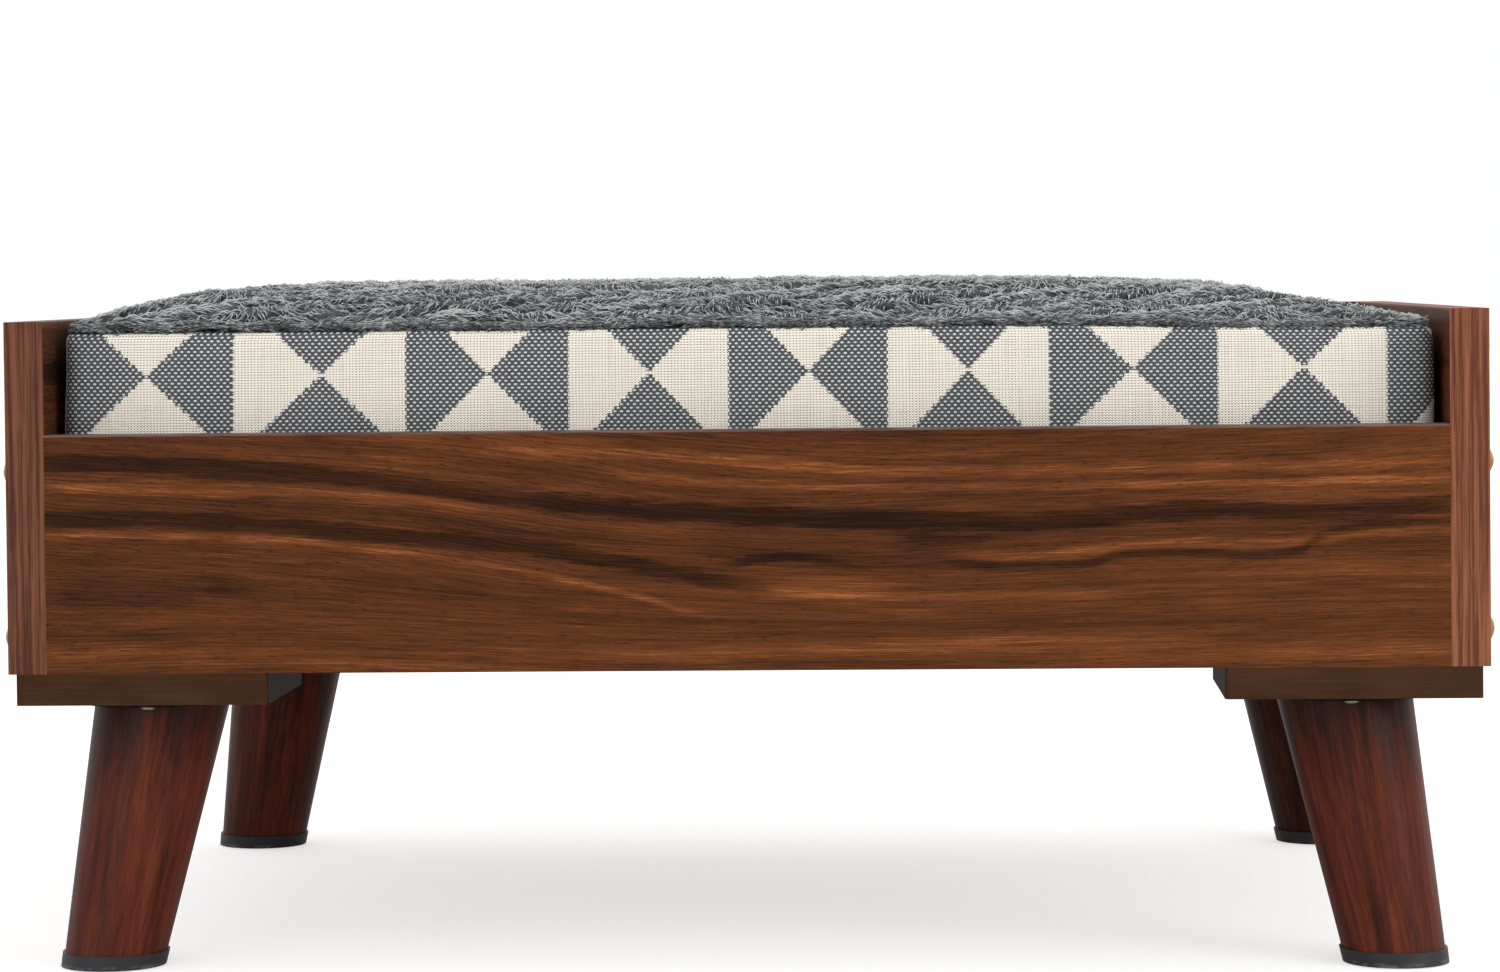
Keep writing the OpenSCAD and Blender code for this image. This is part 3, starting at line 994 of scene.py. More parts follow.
def give_map(piece: bpy.types.Object, corners: np.ndarray) -> None:
    """Stores a flat map, one pair for each face corner."""
    layer = piece.data.uv_layers.new(name="UVMap")
    layer.data.foreach_set("uv", np.asarray(corners, np.float32).reshape(-1))


def dress(piece: bpy.types.Object, material: bpy.types.Material) -> None:
    """Gives a new piece its finish and its slot, and lets it ride on the mattress.

    Args:
        piece: the piece.
        material: its finish.
    """
    piece.data.materials.append(material)
    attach(piece, "mattress")
    LOG.info("%s: %d faces on the mattress", piece.name, len(piece.data.polygons))


def thicken(piece: bpy.types.Object, wall: float) -> None:
    """Gives a sheet its wall, inwards from the face that shows.

    Args:
        piece: the sheet.
        wall: its thickness, in metres.
    """
    solid = piece.modifiers.new("wall", "SOLIDIFY")
    solid.thickness = wall
    solid.offset = -1.0
    solid.use_even_offset = False


def resample(values: np.ndarray, rows: int, columns: int) -> np.ndarray:
    """Stretches a grid of vectors, whose columns go round, to other counts in straight steps.

    Args:
        values: rows by columns by 3.
        rows, columns: the new counts.

    Returns:
        The stretched grid.
    """
    values = np.concatenate([values, values[:, :1]], 1)
    spots = np.linspace(0, values.shape[1] - 1, columns + 1)[:-1]
    left = np.minimum(spots.astype(int), values.shape[1] - 2)
    share = (spots - left)[None, :, None]
    values = values[:, left] * (1 - share) + values[:, left + 1] * share
    spots = np.linspace(0, values.shape[0] - 1, rows)
    low = np.minimum(spots.astype(int), values.shape[0] - 2)
    share = (spots - low)[:, None, None]
    return values[low] * (1 - share) + values[low + 1] * share


def quarter_round(radius: float, away: float) -> float:
    """How far a rounded edge of that radius is set in, at that distance from its end."""
    return radius - math.sqrt(max(radius**2 - max(radius - away, 0) ** 2, 0))


def lumps(x: np.ndarray, y: np.ndarray, seed: int, pitch: float) -> np.ndarray:
    """Smooth variation from -1 to 1: the sum of seven sine waves in seeded directions.

    Args:
        x, y: where, in metres.
        seed: picks the directions and phases.
        pitch: the usual distance from lump to lump, in metres.

    Returns:
        The variation at each place.
    """
    draw = np.random.default_rng(seed)
    waves = 7
    turns = draw.uniform(0, TURN, waves)
    rates = TURN / pitch * draw.uniform(0.7, 1.4, waves)
    phases = draw.uniform(0, TURN, waves)
    total = 0.0
    for turn, rate, phase in zip(turns, rates, phases):
        total = total + np.sin(rate * (x * np.cos(turn) + y * np.sin(turn)) + phase)
    return total / math.sqrt(waves * 2.0)


# ---------------------------------------------------------------- studio


@dataclass
class Studio:
    """Camera, soft white light and a pale floor."""

    eye: Point = (0.0928, -2.0383, 0.28675)
    turn: Point = (math.pi / 2 - 0.0270, 0.0102, 0.0489)
    lens: float = 106.08
    sensor: float = 36.0
    shift: float = -0.060
    dome: float = 1.0
    glow: float = 0.57
    floor_half: float = 14.0
    floor_drop: float = 0.0004

    def build(self) -> None:
        """Sets the camera first, then the floor, the dome and the lamps."""
        self.set_camera()
        self.set_floor()
        self.set_dome()
        self.set_lamp("key_lamp", (2.2, -1.7, 1.2), (0.1, 0.0, 0.15), 1.5, 24.0)
        self.set_lamp("fill_lamp", (-1.3, -2.4, 0.9), (0.1, 0.0, 0.2), 1.4, 7.0)

    def set_camera(self) -> None:
        """Places the camera a little right of centre, at mattress height, tipped slightly down."""
        data = bpy.data.cameras.new("camera")
        data.lens = self.lens
        data.sensor_width = self.sensor
        data.shift_y = self.shift
        data.clip_end = 60.0
        camera = bpy.data.objects.new("camera", data)
        camera.location = self.eye
        camera.rotation_euler = self.turn
        bpy.context.scene.collection.objects.link(camera)
        bpy.context.scene.camera = camera

    def set_floor(self) -> None:
        """Lays a large pale plane that looks lit from below but throws no light of its own."""
        span = np.linspace(-self.floor_half, self.floor_half, 3)
        x, y = np.meshgrid(span, span)
        points = np.stack([x, y, np.full_like(x, -self.floor_drop)], -1).reshape(-1, 3)
        floor = make_mesh("studio_floor", points, [grid_faces(3, 3)])
        kit = Kit("floor_paper")
        fx, fy, _ = kit.place()
        soft = kit.noise((fx * 2.0, fy * 2.0, 0.0), 2.0)
        seen = Field(kit, kit.node("ShaderNodeLightPath").outputs["Is Camera Ray"])
        paper = kit.finish(
            Base_Color=kit.blend(soft, (0.60, 0.60, 0.60, 1), (0.64, 0.64, 0.64, 1)),
            Roughness=0.9,
            Specular_IOR_Level=0.1,
            Emission_Color=(1, 1, 1, 1),
            Emission_Strength=seen * self.glow,
        )
        floor.data.materials.append(paper)

    def set_dome(self) -> None:
        """Lights the scene evenly from a white sky."""
        world = bpy.context.scene.world or bpy.data.worlds.new("world")
        bpy.context.scene.world = world
        world.use_nodes = True
        sky = world.node_tree.nodes["Background"]
        sky.inputs["Color"].default_value = (1, 1, 1, 1)
        sky.inputs["Strength"].default_value = self.dome
        bpy.context.scene.view_settings.view_transform = "Standard"

    def set_lamp(self, name: str, spot: Point, aim: Point, size: float, power: float) -> None:
        """Hangs one soft square lamp.

        Args:
            name: the lamp's name.
            spot: where it hangs.
            aim: the point it looks at.
            size: the length of its side, in metres.
            power: in watts.
        """
        data = bpy.data.lights.new(name, "AREA")
        data.size = size
        data.energy = power
        lamp = bpy.data.objects.new(name, data)
        lamp.location = spot
        lamp.rotation_euler = (Vector(aim) - Vector(spot)).to_track_quat("-Z", "Y").to_euler()
        bpy.context.scene.collection.objects.link(lamp)


# ---------------------------------------------------------------- timber frame and legs


RAIL_STREAKS = (
    Streak(((-300, 213), (-167, 206), (-112, 199), (-61, 193.5), (8, 188), (76, 187), (121, 185.5),
            (188, 189.5), (240, 188.5), (300, 193)), 2.1, 3.0, -0.34),
    Streak(((-90, 196), (-61, 192), (-20, 191.5), (40, 187), (76, 183), (121, 181)), 2.6, 4.0, -0.16),
    Streak(((-300, 189.5), (-206, 187.2), (-155, 182), (-87, 176), (-42, 168), (8, 159)),
           1.8, 2.6, -0.30),
    Streak(((-20, 178), (75, 178), (150, 183), (300, 187)), 4.0, 6.0, -0.13),
    Streak(((-7, 168), (20, 171.5), (48, 168)), 0.9, 1.6, -0.30, 0.7),
    Streak(((84, 168.5), (140, 168), (155, 172), (225, 172.5), (240, 180), (300, 184)),
           0.7, 2.2, -0.24, 0.6),
    Streak(((60, 178), (95, 177)), 1.8, 3.0, -0.22, 2.4),
    Streak(((-285, 157), (-215, 157)), 3.0, 6.0, -0.14, 2.4),
    Streak(((-228, 163), (-190, 158)), 1.6, 4.0, -0.14, 2.0),
    Streak(((-300, 203), (-210, 200.5), (-150, 197), (-95, 190)), 1.2, 3.0, 0.20, 2.2),
    Streak(((-300, 182), (-200, 180.5), (-150, 175.5), (-105, 169), (-60, 160), (-15, 147)),
           0.4, 1.6, 0.24, 0.8),
    Streak(((-110, 216), (-40, 214), (60, 207), (160, 206.5), (300, 209)), 0.8, 2.6, 0.20, 1.6),
    Streak(((-60, 208), (0, 201.5), (60, 200), (150, 200), (300, 202.5)), 0.6, 2.0, 0.24, 1.0),
    Streak(((84, 173), (130, 172), (165, 175.5), (225, 176), (250, 179.5), (300, 182)),
           1.0, 2.2, 0.26, 1.2),
    Streak(((10, 160), (70, 157)), 2.0, 5.0, 0.18, 2.4),
    Streak(((-300, 134), (-60, 131), (120, 135), (300, 131)), 1.6, 5.0, 0.12, 3.0),
)
RAIL_FLOW = ((-300, 213), (-167, 206), (-61, 193), (8, 188), (121, 186), (188, 188), (300, 192))


@dataclass
class TimberFrame:
    """Boards, lipping, deck, cleats and fastenings: the CAD solids with their finishes."""

    nodes: dict
    brass: Metal = Metal("brass_plate", tint(196, 160, 96), tint(142, 108, 58), 0.28)
    zinc: Metal = Metal("zinc_plate", tint(176, 178, 180), tint(128, 130, 132), 0.35)
    nickel: Metal = Metal("nickel_screw", tint(206, 200, 186), tint(150, 140, 122), 0.24)
    side_span: tuple = ((-240.0, 100.0), (240.0, 300.0))

    def paint(self, name: str, material: bpy.types.Material) -> None:
        """Puts one finish on a CAD node.

        Args:
            name: the node.
            material: its finish.
        """
        node = self.nodes[name]
        node.data.materials.clear()
        node.data.materials.append(material)
        LOG.info("%s: %s", name, material.name)

    def build(self) -> None:
        """Dresses the boards, then what lies under the mattress, then the fastenings."""
        self.dress_boards()
        self.dress_lipping()
        self.dress_deck()
        self.dress_fastenings()

    def dress_boards(self) -> None:
        """The four show boards, each with its own figure."""
        # painted light: the last number lightens the rail steadily towards its right end
        rail = PrintedWalnut("walnut_rail", Grain.ALONG_X, 1.7, RAIL_STREAKS, RAIL_FLOW, 0.51, 0.00020)
        self.paint("front_rail", rail.make())
        left = (
            Streak(((-235, 250), (-90, 244), (60, 236), (235, 240)), 3.0, 4.0, -0.30),
            Streak(((-235, 186), (-60, 192), (90, 200), (235, 196)), 2.0, 3.5, -0.26),
            Streak(((-235, 221), (-40, 216), (120, 222), (235, 219)), 1.0, 3.0, 0.18),
            Streak(((-120, 160), (0, 154), (140, 158)), 2.4, 5.0, -0.16, 2.4),
        )
        right = (
            Streak(((-235, 206), (-60, 212), (80, 220), (235, 214)), 3.2, 4.0, -0.30),
            Streak(((-235, 168), (-90, 162), (100, 168), (235, 160)), 1.8, 3.5, -0.24),
            Streak(((-235, 240), (0, 246), (235, 239)), 1.0, 3.0, 0.18),
            Streak(((-160, 140), (40, 136), (200, 141)), 2.0, 4.0, 0.12, 2.4),
        )
        # painted shade and painted light: one print, set darker on the left panel and lighter on the
        # right, as light falls on their inner faces
        for name, lines, seed, tone in (
            ("left_side_panel", left, 21.3, 0.35),
            ("right_side_panel", right, 34.9, 0.44),
        ):
            finish = PrintedWalnut(
                f"walnut_{name}", Grain.ALONG_Y, seed, lines, tone=tone, span=self.side_span
            )
            self.paint(name, finish.make())
        back = (
            Streak(((-300, 236), (-120, 244), (60, 250), (300, 243)), 3.4, 4.0, -0.30),
            Streak(((-300, 196), (-80, 188), (120, 180), (300, 186)), 2.2, 3.5, -0.26),
            Streak(((-300, 218), (-60, 222), (140, 216), (300, 221)), 1.0, 3.0, 0.18),
            Streak(((-60, 156), (60, 150), (180, 156)), 2.6, 5.0, -0.16, 2.4),
        )
        self.paint("back_panel", PrintedWalnut("walnut_back", Grain.ALONG_X, 47.2, back).make())

    def dress_lipping(self) -> None:
        """The edge tapes: along the tops, and up the front edges of the sides."""
        # painted shade and painted light: the two side tapes are one tape, the left drawn darker and the
        # right lighter, as the key lamp from the right lights them
        left = EdgeBand("lipping_left_painted_shade", Grain.ALONG_Z, tint(120, 75, 53), tint(76, 42, 29), 3.0)
        right = EdgeBand("lipping_right_painted_light", Grain.ALONG_Z, tint(148, 91, 64), tint(96, 54, 37), 8.0)
        # partly painted highlight: the rail's top tape is its own brown, greyed as a line of light along
        # the rail's top
        rail = EdgeBand("lipping_rail_painted_highlight", Grain.ALONG_X, tint(122, 100, 94), tint(84, 60, 52), 5.0)
        back = EdgeBand("lipping_back", Grain.ALONG_X, tint(122, 80, 60), tint(78, 46, 34), 6.0)
        for name, band in (
            ("left_panel_bands", left),
            ("right_panel_bands", right),
            ("front_rail_band", rail),
            ("back_panel_band", back),
        ):
            self.paint(name, band.make())

    def dress_deck(self) -> None:
        """Deck, cleats and beam in bare timber."""
        ply = BareTimber("deck_plywood", Grain.FLAT_X, tint(206, 172, 126), tint(168, 128, 84), 1.8)
        self.paint("deck_board", ply.make())
        pale, dark = tint(214, 180, 130), tint(172, 128, 80)
        across = BareTimber("cleat_pine", Grain.ALONG_X, pale, dark).make()
        deep = BareTimber("cleat_pine_deep", Grain.ALONG_Y, pale, dark).make()
        for name in ("front_cleat", "back_cleat", "center_beam", "left_cleat", "right_cleat"):
            low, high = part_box(name)
            self.paint(name, across if high.x - low.x > high.y - low.y else deep)

    def dress_fastenings(self) -> None:
        """Bolts, nuts, dowels and screws."""
        brass, zinc, nickel = self.brass.make(), self.zinc.make(), self.nickel.make()
        dowel = BareTimber("dowel_beech", Grain.ALONG_X, tint(216, 184, 140), tint(180, 140, 96)).make()
        for name, material in (
            ("side_bolts", brass),
            ("barrel_nuts", zinc),
            ("corner_dowels", dowel),
            ("cleat_screws", zinc),
            ("deck_screws", zinc),
            ("beam_screws", zinc),
            ("block_screws", zinc),
            ("plate_screws", nickel),
            ("leg_studs", zinc),
            ("foot_nails", zinc),
        ):
            self.paint(name, material)


@dataclass
class Legs:
    """The four corner blocks with their plates, leaning legs and plastic feet."""

    timber: TimberFrame
    corners: tuple = ("front_left", "front_right", "back_left", "back_right")
    # painted shade: the back legs are darkened, the right one more, as they stand in the bed's shadow
    shades: tuple = (0.0, 0.0, 0.10, 0.20)
    seed_step: float = 3.1

    def build(self) -> None:
        """Dresses each corner; a leg's stripes follow the line from its foot to its plate."""
        end = abs(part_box("front_left_block")[1].x) / MM
        paint = BlockPaint("block_paint", tint(60, 39, 25), tint(76, 53, 38), end).make()
        steel = Metal("plate_blackened", tint(46, 40, 35), tint(24, 20, 17), 0.55).make()
        cap = MouldedPlastic("foot_plastic", tint(42, 41, 44), tint(108, 105, 104)).make()
        for place, (corner, shade) in enumerate(zip(self.corners, self.shades)):
            foot, plate = (sum(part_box(f"{corner}_{part}"), Vector()) / 2 for part in ("foot", "plate"))
            rise = plate.z - foot.z
            lean = ((plate.x - foot.x) / rise, (plate.y - foot.y) / rise)
            seed = self.seed_step * place
            stain_and_shade = TurnedLeg(f"leg_stain_and_shade_{corner}", (foot.x, foot.y, 0.0), lean, seed, shade)
            self.timber.paint(f"{corner}_block", paint)
            self.timber.paint(f"{corner}_plate", steel)
            self.timber.paint(f"{corner}_leg", stain_and_shade.make())
            self.timber.paint(f"{corner}_foot", cap)


# ---------------------------------------------------------------- mattress


@dataclass
class CushionForm:
    """A slab with a rounded outline: top and bottom sheets and a wall round them, as grids.

    The outline is a rectangle whose corners are arcs. A square grid is laid on it; in each corner
    square, (a, b) goes to (a root(1 - b b / 2), b root(1 - a a / 2)), which turns the square into
    a quarter disc. The top rises by the crown over the run from its edge.
    """

    half_x: float
    half_y: float
    centre_y: float
    corner: float
    bottom: float
    seam: float
    crown: float = 0.0
    run: float = 0.075

    def outline(self, p: np.ndarray, q: np.ndarray, out: float = 0.0) -> tuple:
        """Places grid coordinates on the outline.

        Args:
            p, q: from -1 to 1, to the right and to the back.
            out: how far the outline is grown, in metres.

        Returns:
            X and Y.
        """
        half_x, half_y, corner = self.half_x + out, self.half_y + out, self.corner + out
        x, y = p * half_x, q * half_y
        a = np.clip((np.abs(x) - (half_x - corner)) / corner, 0, 1)
        b = np.clip((np.abs(y) - (half_y - corner)) / corner, 0, 1)
        both = (a > 0) & (b > 0)
        round_x = (half_x - corner) + corner * a * np.sqrt(1 - b * b / 2)
        round_y = (half_y - corner) + corner * b * np.sqrt(1 - a * a / 2)
        x = np.where(both, np.sign(x) * round_x, x)
        y = np.where(both, np.sign(y) * round_y, y)
        return x, y + self.centre_y

    def inset(self, x: np.ndarray, y: np.ndarray) -> np.ndarray:
        """Measures how far each place lies inside the outline.

        Args:
            x, y: where, in metres.

        Returns:
            The distance from the outline, below zero outside it.
        """
        a = np.abs(x) - (self.half_x - self.corner)
        b = np.abs(y - self.centre_y) - (self.half_y - self.corner)
        outside = np.hypot(np.maximum(a, 0), np.maximum(b, 0))
        return self.corner - outside - np.minimum(np.maximum(a, b), 0)

    @staticmethod
    def square(columns: int, rows: int) -> list:
        """The two coordinates, from -1 to 1, of a grid whose rows go from front to back."""
        return np.meshgrid(np.linspace(-1, 1, columns), np.linspace(-1, 1, rows))

    def sheet(self, columns: int, rows: int) -> tuple:
        """X and Y of a grid laid over the outline."""
        return self.outline(*self.square(columns, rows))

    def top(self, columns: int, rows: int) -> np.ndarray:
        """Makes the crowned top: its rise is a quarter sine of the inset over the run.

        Args:
            columns, rows: how many points there are each way.

        Returns:
            The grid of points.
        """
        x, y = self.sheet(columns, rows)
        share = np.clip(self.inset(x, y) / self.run, 0, 1)
        return np.stack([x, y, self.seam + self.crown * np.sin(np.pi / 2 * share)], -1)

    @staticmethod
    def rim(grid: np.ndarray) -> np.ndarray:
        """The grid's border, from the back left corner anticlockwise as seen from above."""
        return np.concatenate([grid[:0:-1, 0], grid[0, :-1], grid[:-1, -1], grid[-1, :0:-1]])

    def wall(self, columns: int, rows: int, levels: int, profile: Profile) -> np.ndarray:
        """Makes the wall round the rim of the top.

        Args:
            columns, rows: the top's points each way.
            levels: how many rings of points go up the wall.
            profile: how far the wall stands out, by the share of its height from 0 to 1.

        Returns:
            The points as levels by rim points.
        """
        rim_p, rim_q = (self.rim(part) for part in self.square(columns, rows))
        share = np.linspace(0, 1, levels)
        lines = [np.stack(self.outline(rim_p, rim_q, profile(t)), -1) for t in share]
        heights = self.bottom + (self.seam - self.bottom) * share
        height = np.broadcast_to(heights[:, None, None], (levels, len(rim_p), 1))
        return np.concatenate([np.stack(lines), height], -1)

    def rounded(self, edge: float) -> Profile:
        """Gives the section of a wall with rounded top and bottom edges.

        Args:
            edge: the radius of the edges.

        Returns:
            The profile, as the wall takes it.
        """
        tall = self.seam - self.bottom
        return lambda share: -quarter_round(edge, min(share, 1 - share) * tall)

    def shell(self, columns: int, rows: int, levels: int, profile: Profile) -> tuple:
        """Makes a closed shell of the top, the bottom and the wall.

        Args:
            columns, rows: the top's points each way.
            levels: how many rings of points go up the wall.
            profile: as the wall takes it.

        Returns:
            The points, the faces, and the point numbers of the wall's rings from the bottom up.
        """
        top, wall = self.top(columns, rows), self.wall(columns, rows, levels, profile)
        floor = top.copy()
        floor[..., 2] = self.bottom
        count = rows * columns
        ids = np.arange(count).reshape(rows, columns)
        rim_top = self.rim(ids)
        rim_floor = rim_top + count
        inner = 2 * count + np.arange((levels - 2) * len(rim_top)).reshape(levels - 2, -1)
        rings = np.concatenate([rim_floor[None], inner, rim_top[None]])
        cells = grid_faces(rows, columns)
        ring_cells = rings.reshape(-1)[grid_faces(levels, len(rim_top), True)]
        points = np.concatenate([part.reshape(-1, 3) for part in (top, floor, wall[1:-1])])
        faces = np.concatenate([cells, cells[:, ::-1] + count, ring_cells])
        return points, faces, rings


@dataclass
class Mattress:
    """The foam mattress in its zipped cover, made from one inflated shell. Sizes are in metres."""

    # the shell that is inflated
    cell: float = 0.008
    levels: int = 10
    roll: float = 0.005
    shoulder: float = 0.0045
    cling: float = 0.0004
    pressure: float = 4.0
    frames: int = 20
    cap_top: float = 0.0014
    cap_side: float = 0.0032
    # the cover
    wall: float = 0.0012
    ease: float = 0.0036
    form_corner: float = 0.008
    cap_corner: float = 0.006
    canvas_fine: int = 2
    canvas_levels: int = 58
    pucker: float = 0.00035
    pucker_pitch: float = 0.014
    pucker_deep: float = 0.016
    billow: float = 0.0016
    creep: float = 0.0004
    side_room: float = 0.0012
    front_room: float = 0.0032
    rim_deep: float = 0.028
    rim_follow: float = 0.55
    # the plush and its slump towards the right
    plush_cell: float = 0.0026
    plush_wall: float = 0.0015
    relief: float = 0.0050
    lip: float = 0.0022
    lip_tall: float = 1.15
    lip_drop: float = 0.6
    scallop: float = 0.0155
    lump_x: float = 0.0210
    lump_y: float = 0.0155
    twill: float = 0.55
    slump: float = 0.0035
    slump_from: float = 0.09
    slump_over: float = 0.16
    # the strands of the pile
    pile_pitch: float = 0.0020
    pile_seed: int = 23
    edge_bare: float = 0.0008
    edge_fall: float = 0.0025
    root_deep: float = 0.0004
    strand_long: Pair = (0.0065, 0.0105)
    strand_lift: Pair = (0.0005, 0.0014)
    tip_stray: Pair = (-0.0004, 0.0006)
    hem_strands: int = 15000
    hem_long: Pair = (0.0035, 0.0065)
    hem_lift: Pair = (0.0004, 0.0016)
    overhang: float = 0.0030
    shade_step: float = 0.20
    strand_root: float = 0.00034
    strand_middle: float = 0.00031
    strand_bend: float = 0.55
    # partly painted light and shade: copies of one grey from dark to light, picked by a strand's value,
    # which rises with the ground's height and up the lip; its random part is the strands' own tone
    pile_shades: tuple = (
        ("deep", tint(30, 33, 34), tint(62, 66, 67)),
        ("slate", tint(50, 54, 55), tint(100, 104, 105)),
        ("steel", tint(74, 79, 80), tint(136, 140, 141)),
        ("ash", tint(100, 105, 105), tint(172, 176, 176)),
        ("frost", tint(128, 133, 132), tint(206, 210, 208)),
        ("rime", tint(138, 143, 142), tint(218, 222, 220)),
    )
    # what the cover holds
    cover_gap: float = 0.0050
    fill_corner: float = 0.018
    pad_rim: float = 0.0008
    pad_give: float = 0.0012
    pad_run: float = 0.071
    pad_thin: float = 0.0003
    foam_gap: float = 0.0005
    foam_thin: float = 0.004
    form: CushionForm = field(init=False)
    cap: CushionForm = field(init=False)

    def __post_init__(self) -> None:
        """Reads the cover's place from the CAD solids."""
        low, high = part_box("cover_gusset")
        crown_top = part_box("cover_top")[1].z
        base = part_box("cover_base")[0].z
        self.form = CushionForm(
            half_x=(high.x - low.x) / 2 + self.ease,
            half_y=(high.y - low.y) / 2,
            centre_y=(high.y + low.y) / 2,
            corner=self.form_corner,
            bottom=base,
            seam=high.z,
            crown=crown_top - high.z,
        )
        self.cap = replace(
            self.form,
            half_x=self.form.half_x - self.shoulder,
            half_y=self.form.half_y - self.shoulder,
            corner=self.cap_corner,
        )
        self.columns = round(2 * self.form.half_x / self.cell) + 1
        self.rows = round(2 * self.form.half_y / self.cell) + 1

    def profile(self, share: float) -> float:
        """Gives the wall its section: rolled under at the base, a rounded shoulder at the seam.

        Args:
            share: the share of the wall's height, from 0 to 1.

        Returns:
            How far the wall stands out from the outline.
        """
        tall = self.form.seam - self.form.bottom
        under = quarter_round(self.roll, share * tall)
        over = quarter_round(self.shoulder, (1 - share) * tall)
        return -self.cling - under - over

    def build(self) -> None:
        """Inflates the shell, then makes each part of the cover and what it holds."""
        self.inflate()
        self.make_canvas()
        self.make_base()
        self.make_plush()
        self.make_fill()

    def inflate(self) -> None:
        """Runs the shell as cloth under pressure and keeps how far each grid point moved.

        The base and the seam are held. A point moves at most cap_top or cap_side; make_canvas later
        holds the back wall flat behind the zip.
        """
        form = self.form
        points, faces, rings = form.shell(self.columns, self.rows, self.levels, self.profile)
        count = self.columns * self.rows
        moved = np.zeros_like(points)
        shell = make_mesh("inflating_shell", points, [faces])
        held = np.concatenate([np.arange(count, 2 * count), rings[-1]])
        moved = self.run_cloth(shell, points, held) - points
        bpy.data.objects.remove(shell)
        cap = np.full(len(points), self.cap_side)
        cap[:count] = self.cap_top
        length = np.linalg.norm(moved, axis=1)
        moved *= (np.minimum(length, cap) / np.maximum(length, 1e-9))[:, None]
        self.lift = moved[:count].reshape(self.rows, self.columns, 3)
        self.swell = moved[rings]

    def run_cloth(self, shell: bpy.types.Object, points: np.ndarray, held: np.ndarray) -> np.ndarray:
        """Inflates an object for a few frames.

        Args:
            shell: the object.
            points: where its points start.
            held: the numbers of the points that stay.

        Returns:
            Where its points end up.
        """
        group = shell.vertex_groups.new(name="held")
        group.add([int(i) for i in held], 1.0, "REPLACE")
        cloth = shell.modifiers.new("cloth", "CLOTH")
        for key, value in (
            ("quality", 4),
            ("mass", 0.25),
            ("tension_stiffness", 25.0),
            ("compression_stiffness", 25.0),
            ("shear_stiffness", 8.0),
            ("bending_stiffness", 1.5),
            ("use_pressure", True),
            ("uniform_pressure_force", self.pressure),
            ("vertex_group_mass", "held"),
        ):
            setattr(cloth.settings, key, value)
        cloth.settings.effector_weights.gravity = 0.0
        cloth.point_cache.frame_start = 1
        cloth.point_cache.frame_end = self.frames
        scene = bpy.context.scene
        for step in range(1, self.frames + 1):
            scene.frame_set(step)
        settled = shell.evaluated_get(bpy.context.evaluated_depsgraph_get())
        ends = np.empty(len(points) * 3, np.float32)
        settled.data.vertices.foreach_get("co", ends)
        scene.frame_set(1)
        return ends.reshape(-1, 3).astype(float)

    def rear_hold(self, points: np.ndarray) -> np.ndarray:
        """Finds the back wall, which must stay flat behind the zip.

        Args:
            points: the wall's points.

        Returns:
            1 behind the zip, easing to 0 before the back corners.
        """
        back = self.form.centre_y + self.form.half_y
        near = np.clip((points[..., 1] - (back - 0.012)) / 0.006, 0, 1)
        wide = 1 - np.clip((np.abs(points[..., 0]) - 0.215) / 0.03, 0, 1)
        return near * wide

    def make_canvas(self) -> None:
        """The patterned wall: a finer grid over the inflated one, with puckers under the seam.

        A pucker is a sine of the run along the wall that dies out below the seam. The wall swells
        with the cloth run, billows between base and seam, and follows the slumped top at the right.
        """
        form, fine, levels = self.form, self.canvas_fine, self.canvas_levels
        columns, rows = (self.columns - 1) * fine + 1, (self.rows - 1) * fine + 1
        wall = form.wall(columns, rows, levels, self.profile)
        swell = resample(self.swell, levels, wall.shape[1])
        hold = self.rear_hold(wall)[..., None]
        base = wall.copy()
        step = np.diff(np.concatenate([wall, wall[:, :1]], 1)[levels // 2], axis=0)
        run = np.concatenate([[0], np.cumsum(np.linalg.norm(step[:, :2], axis=1))])
        out = np.stack([step[:, 1], -step[:, 0]], -1)
        out = (out + np.roll(out, 1, 0)) / 2
        out /= np.linalg.norm(out, axis=1, keepdims=True)
        outward = np.concatenate([out, np.zeros((len(out), 1))], 1)[None]
        z = wall[..., 2]
        fade = np.clip(1 - (form.seam - z) / self.pucker_deep, 0, 1) ** 2
        u = run[:-1][None] + 0.003 * lumps(run[:-1][None], z, 5, 0.05)
        pucker = np.sin(TURN * u / self.pucker_pitch) * (0.5 + 0.5 * lumps(u, u * 0, 6, 0.06))
        height = (z - form.bottom) / (form.seam - form.bottom)
        billow = self.billow * np.sin(np.pi * height) * (0.7 + 0.5 * lumps(u, z, 7, 0.16))
        creep = self.creep * lumps(u, z, 8, 0.035)
        proud = (self.pucker * pucker * fade + billow + creep)[..., None]
        wall = base + (swell + proud * outward) * (1 - hold) - hold * outward * 0.0002
        inside = np.clip(np.abs(wall[..., 0]), 0, form.half_x + self.side_room)
        wall[..., 0] = np.sign(wall[..., 0]) * inside
        front, back = form.centre_y - form.half_y - self.front_room, form.centre_y + form.half_y
        wall[..., 1] = np.clip(wall[..., 1], front, back)
        near = np.clip(1 - (form.seam - base[..., 2]) / self.rim_deep, 0, 1)
        wall[..., 2] -= self.rim_follow * self.slack(wall[..., 0]) * near * near
        faces = grid_faces(levels, wall.shape[1], True)
        piece = make_mesh("canvas_gusset", wall.reshape(-1, 3), [faces])
        belt = wall[levels // 2]
        middle = np.argmin(np.abs(belt[:, 0]) + (belt[:, 1] > 0))
        start = run[middle] - belt[middle, 0]
        column = np.arange(len(faces)) % wall.shape[1]
        row = np.arange(len(faces)) // wall.shape[1]
        tall = base[:, 0, 2]
        u_corner = run[np.stack([column, column + 1, column + 1, column], 1)] - start
        v_corner = tall[np.stack([row, row, row + 1, row + 1], 1)]
        give_map(piece, np.stack([u_corner, v_corner], -1))
        thicken(piece, self.wall)
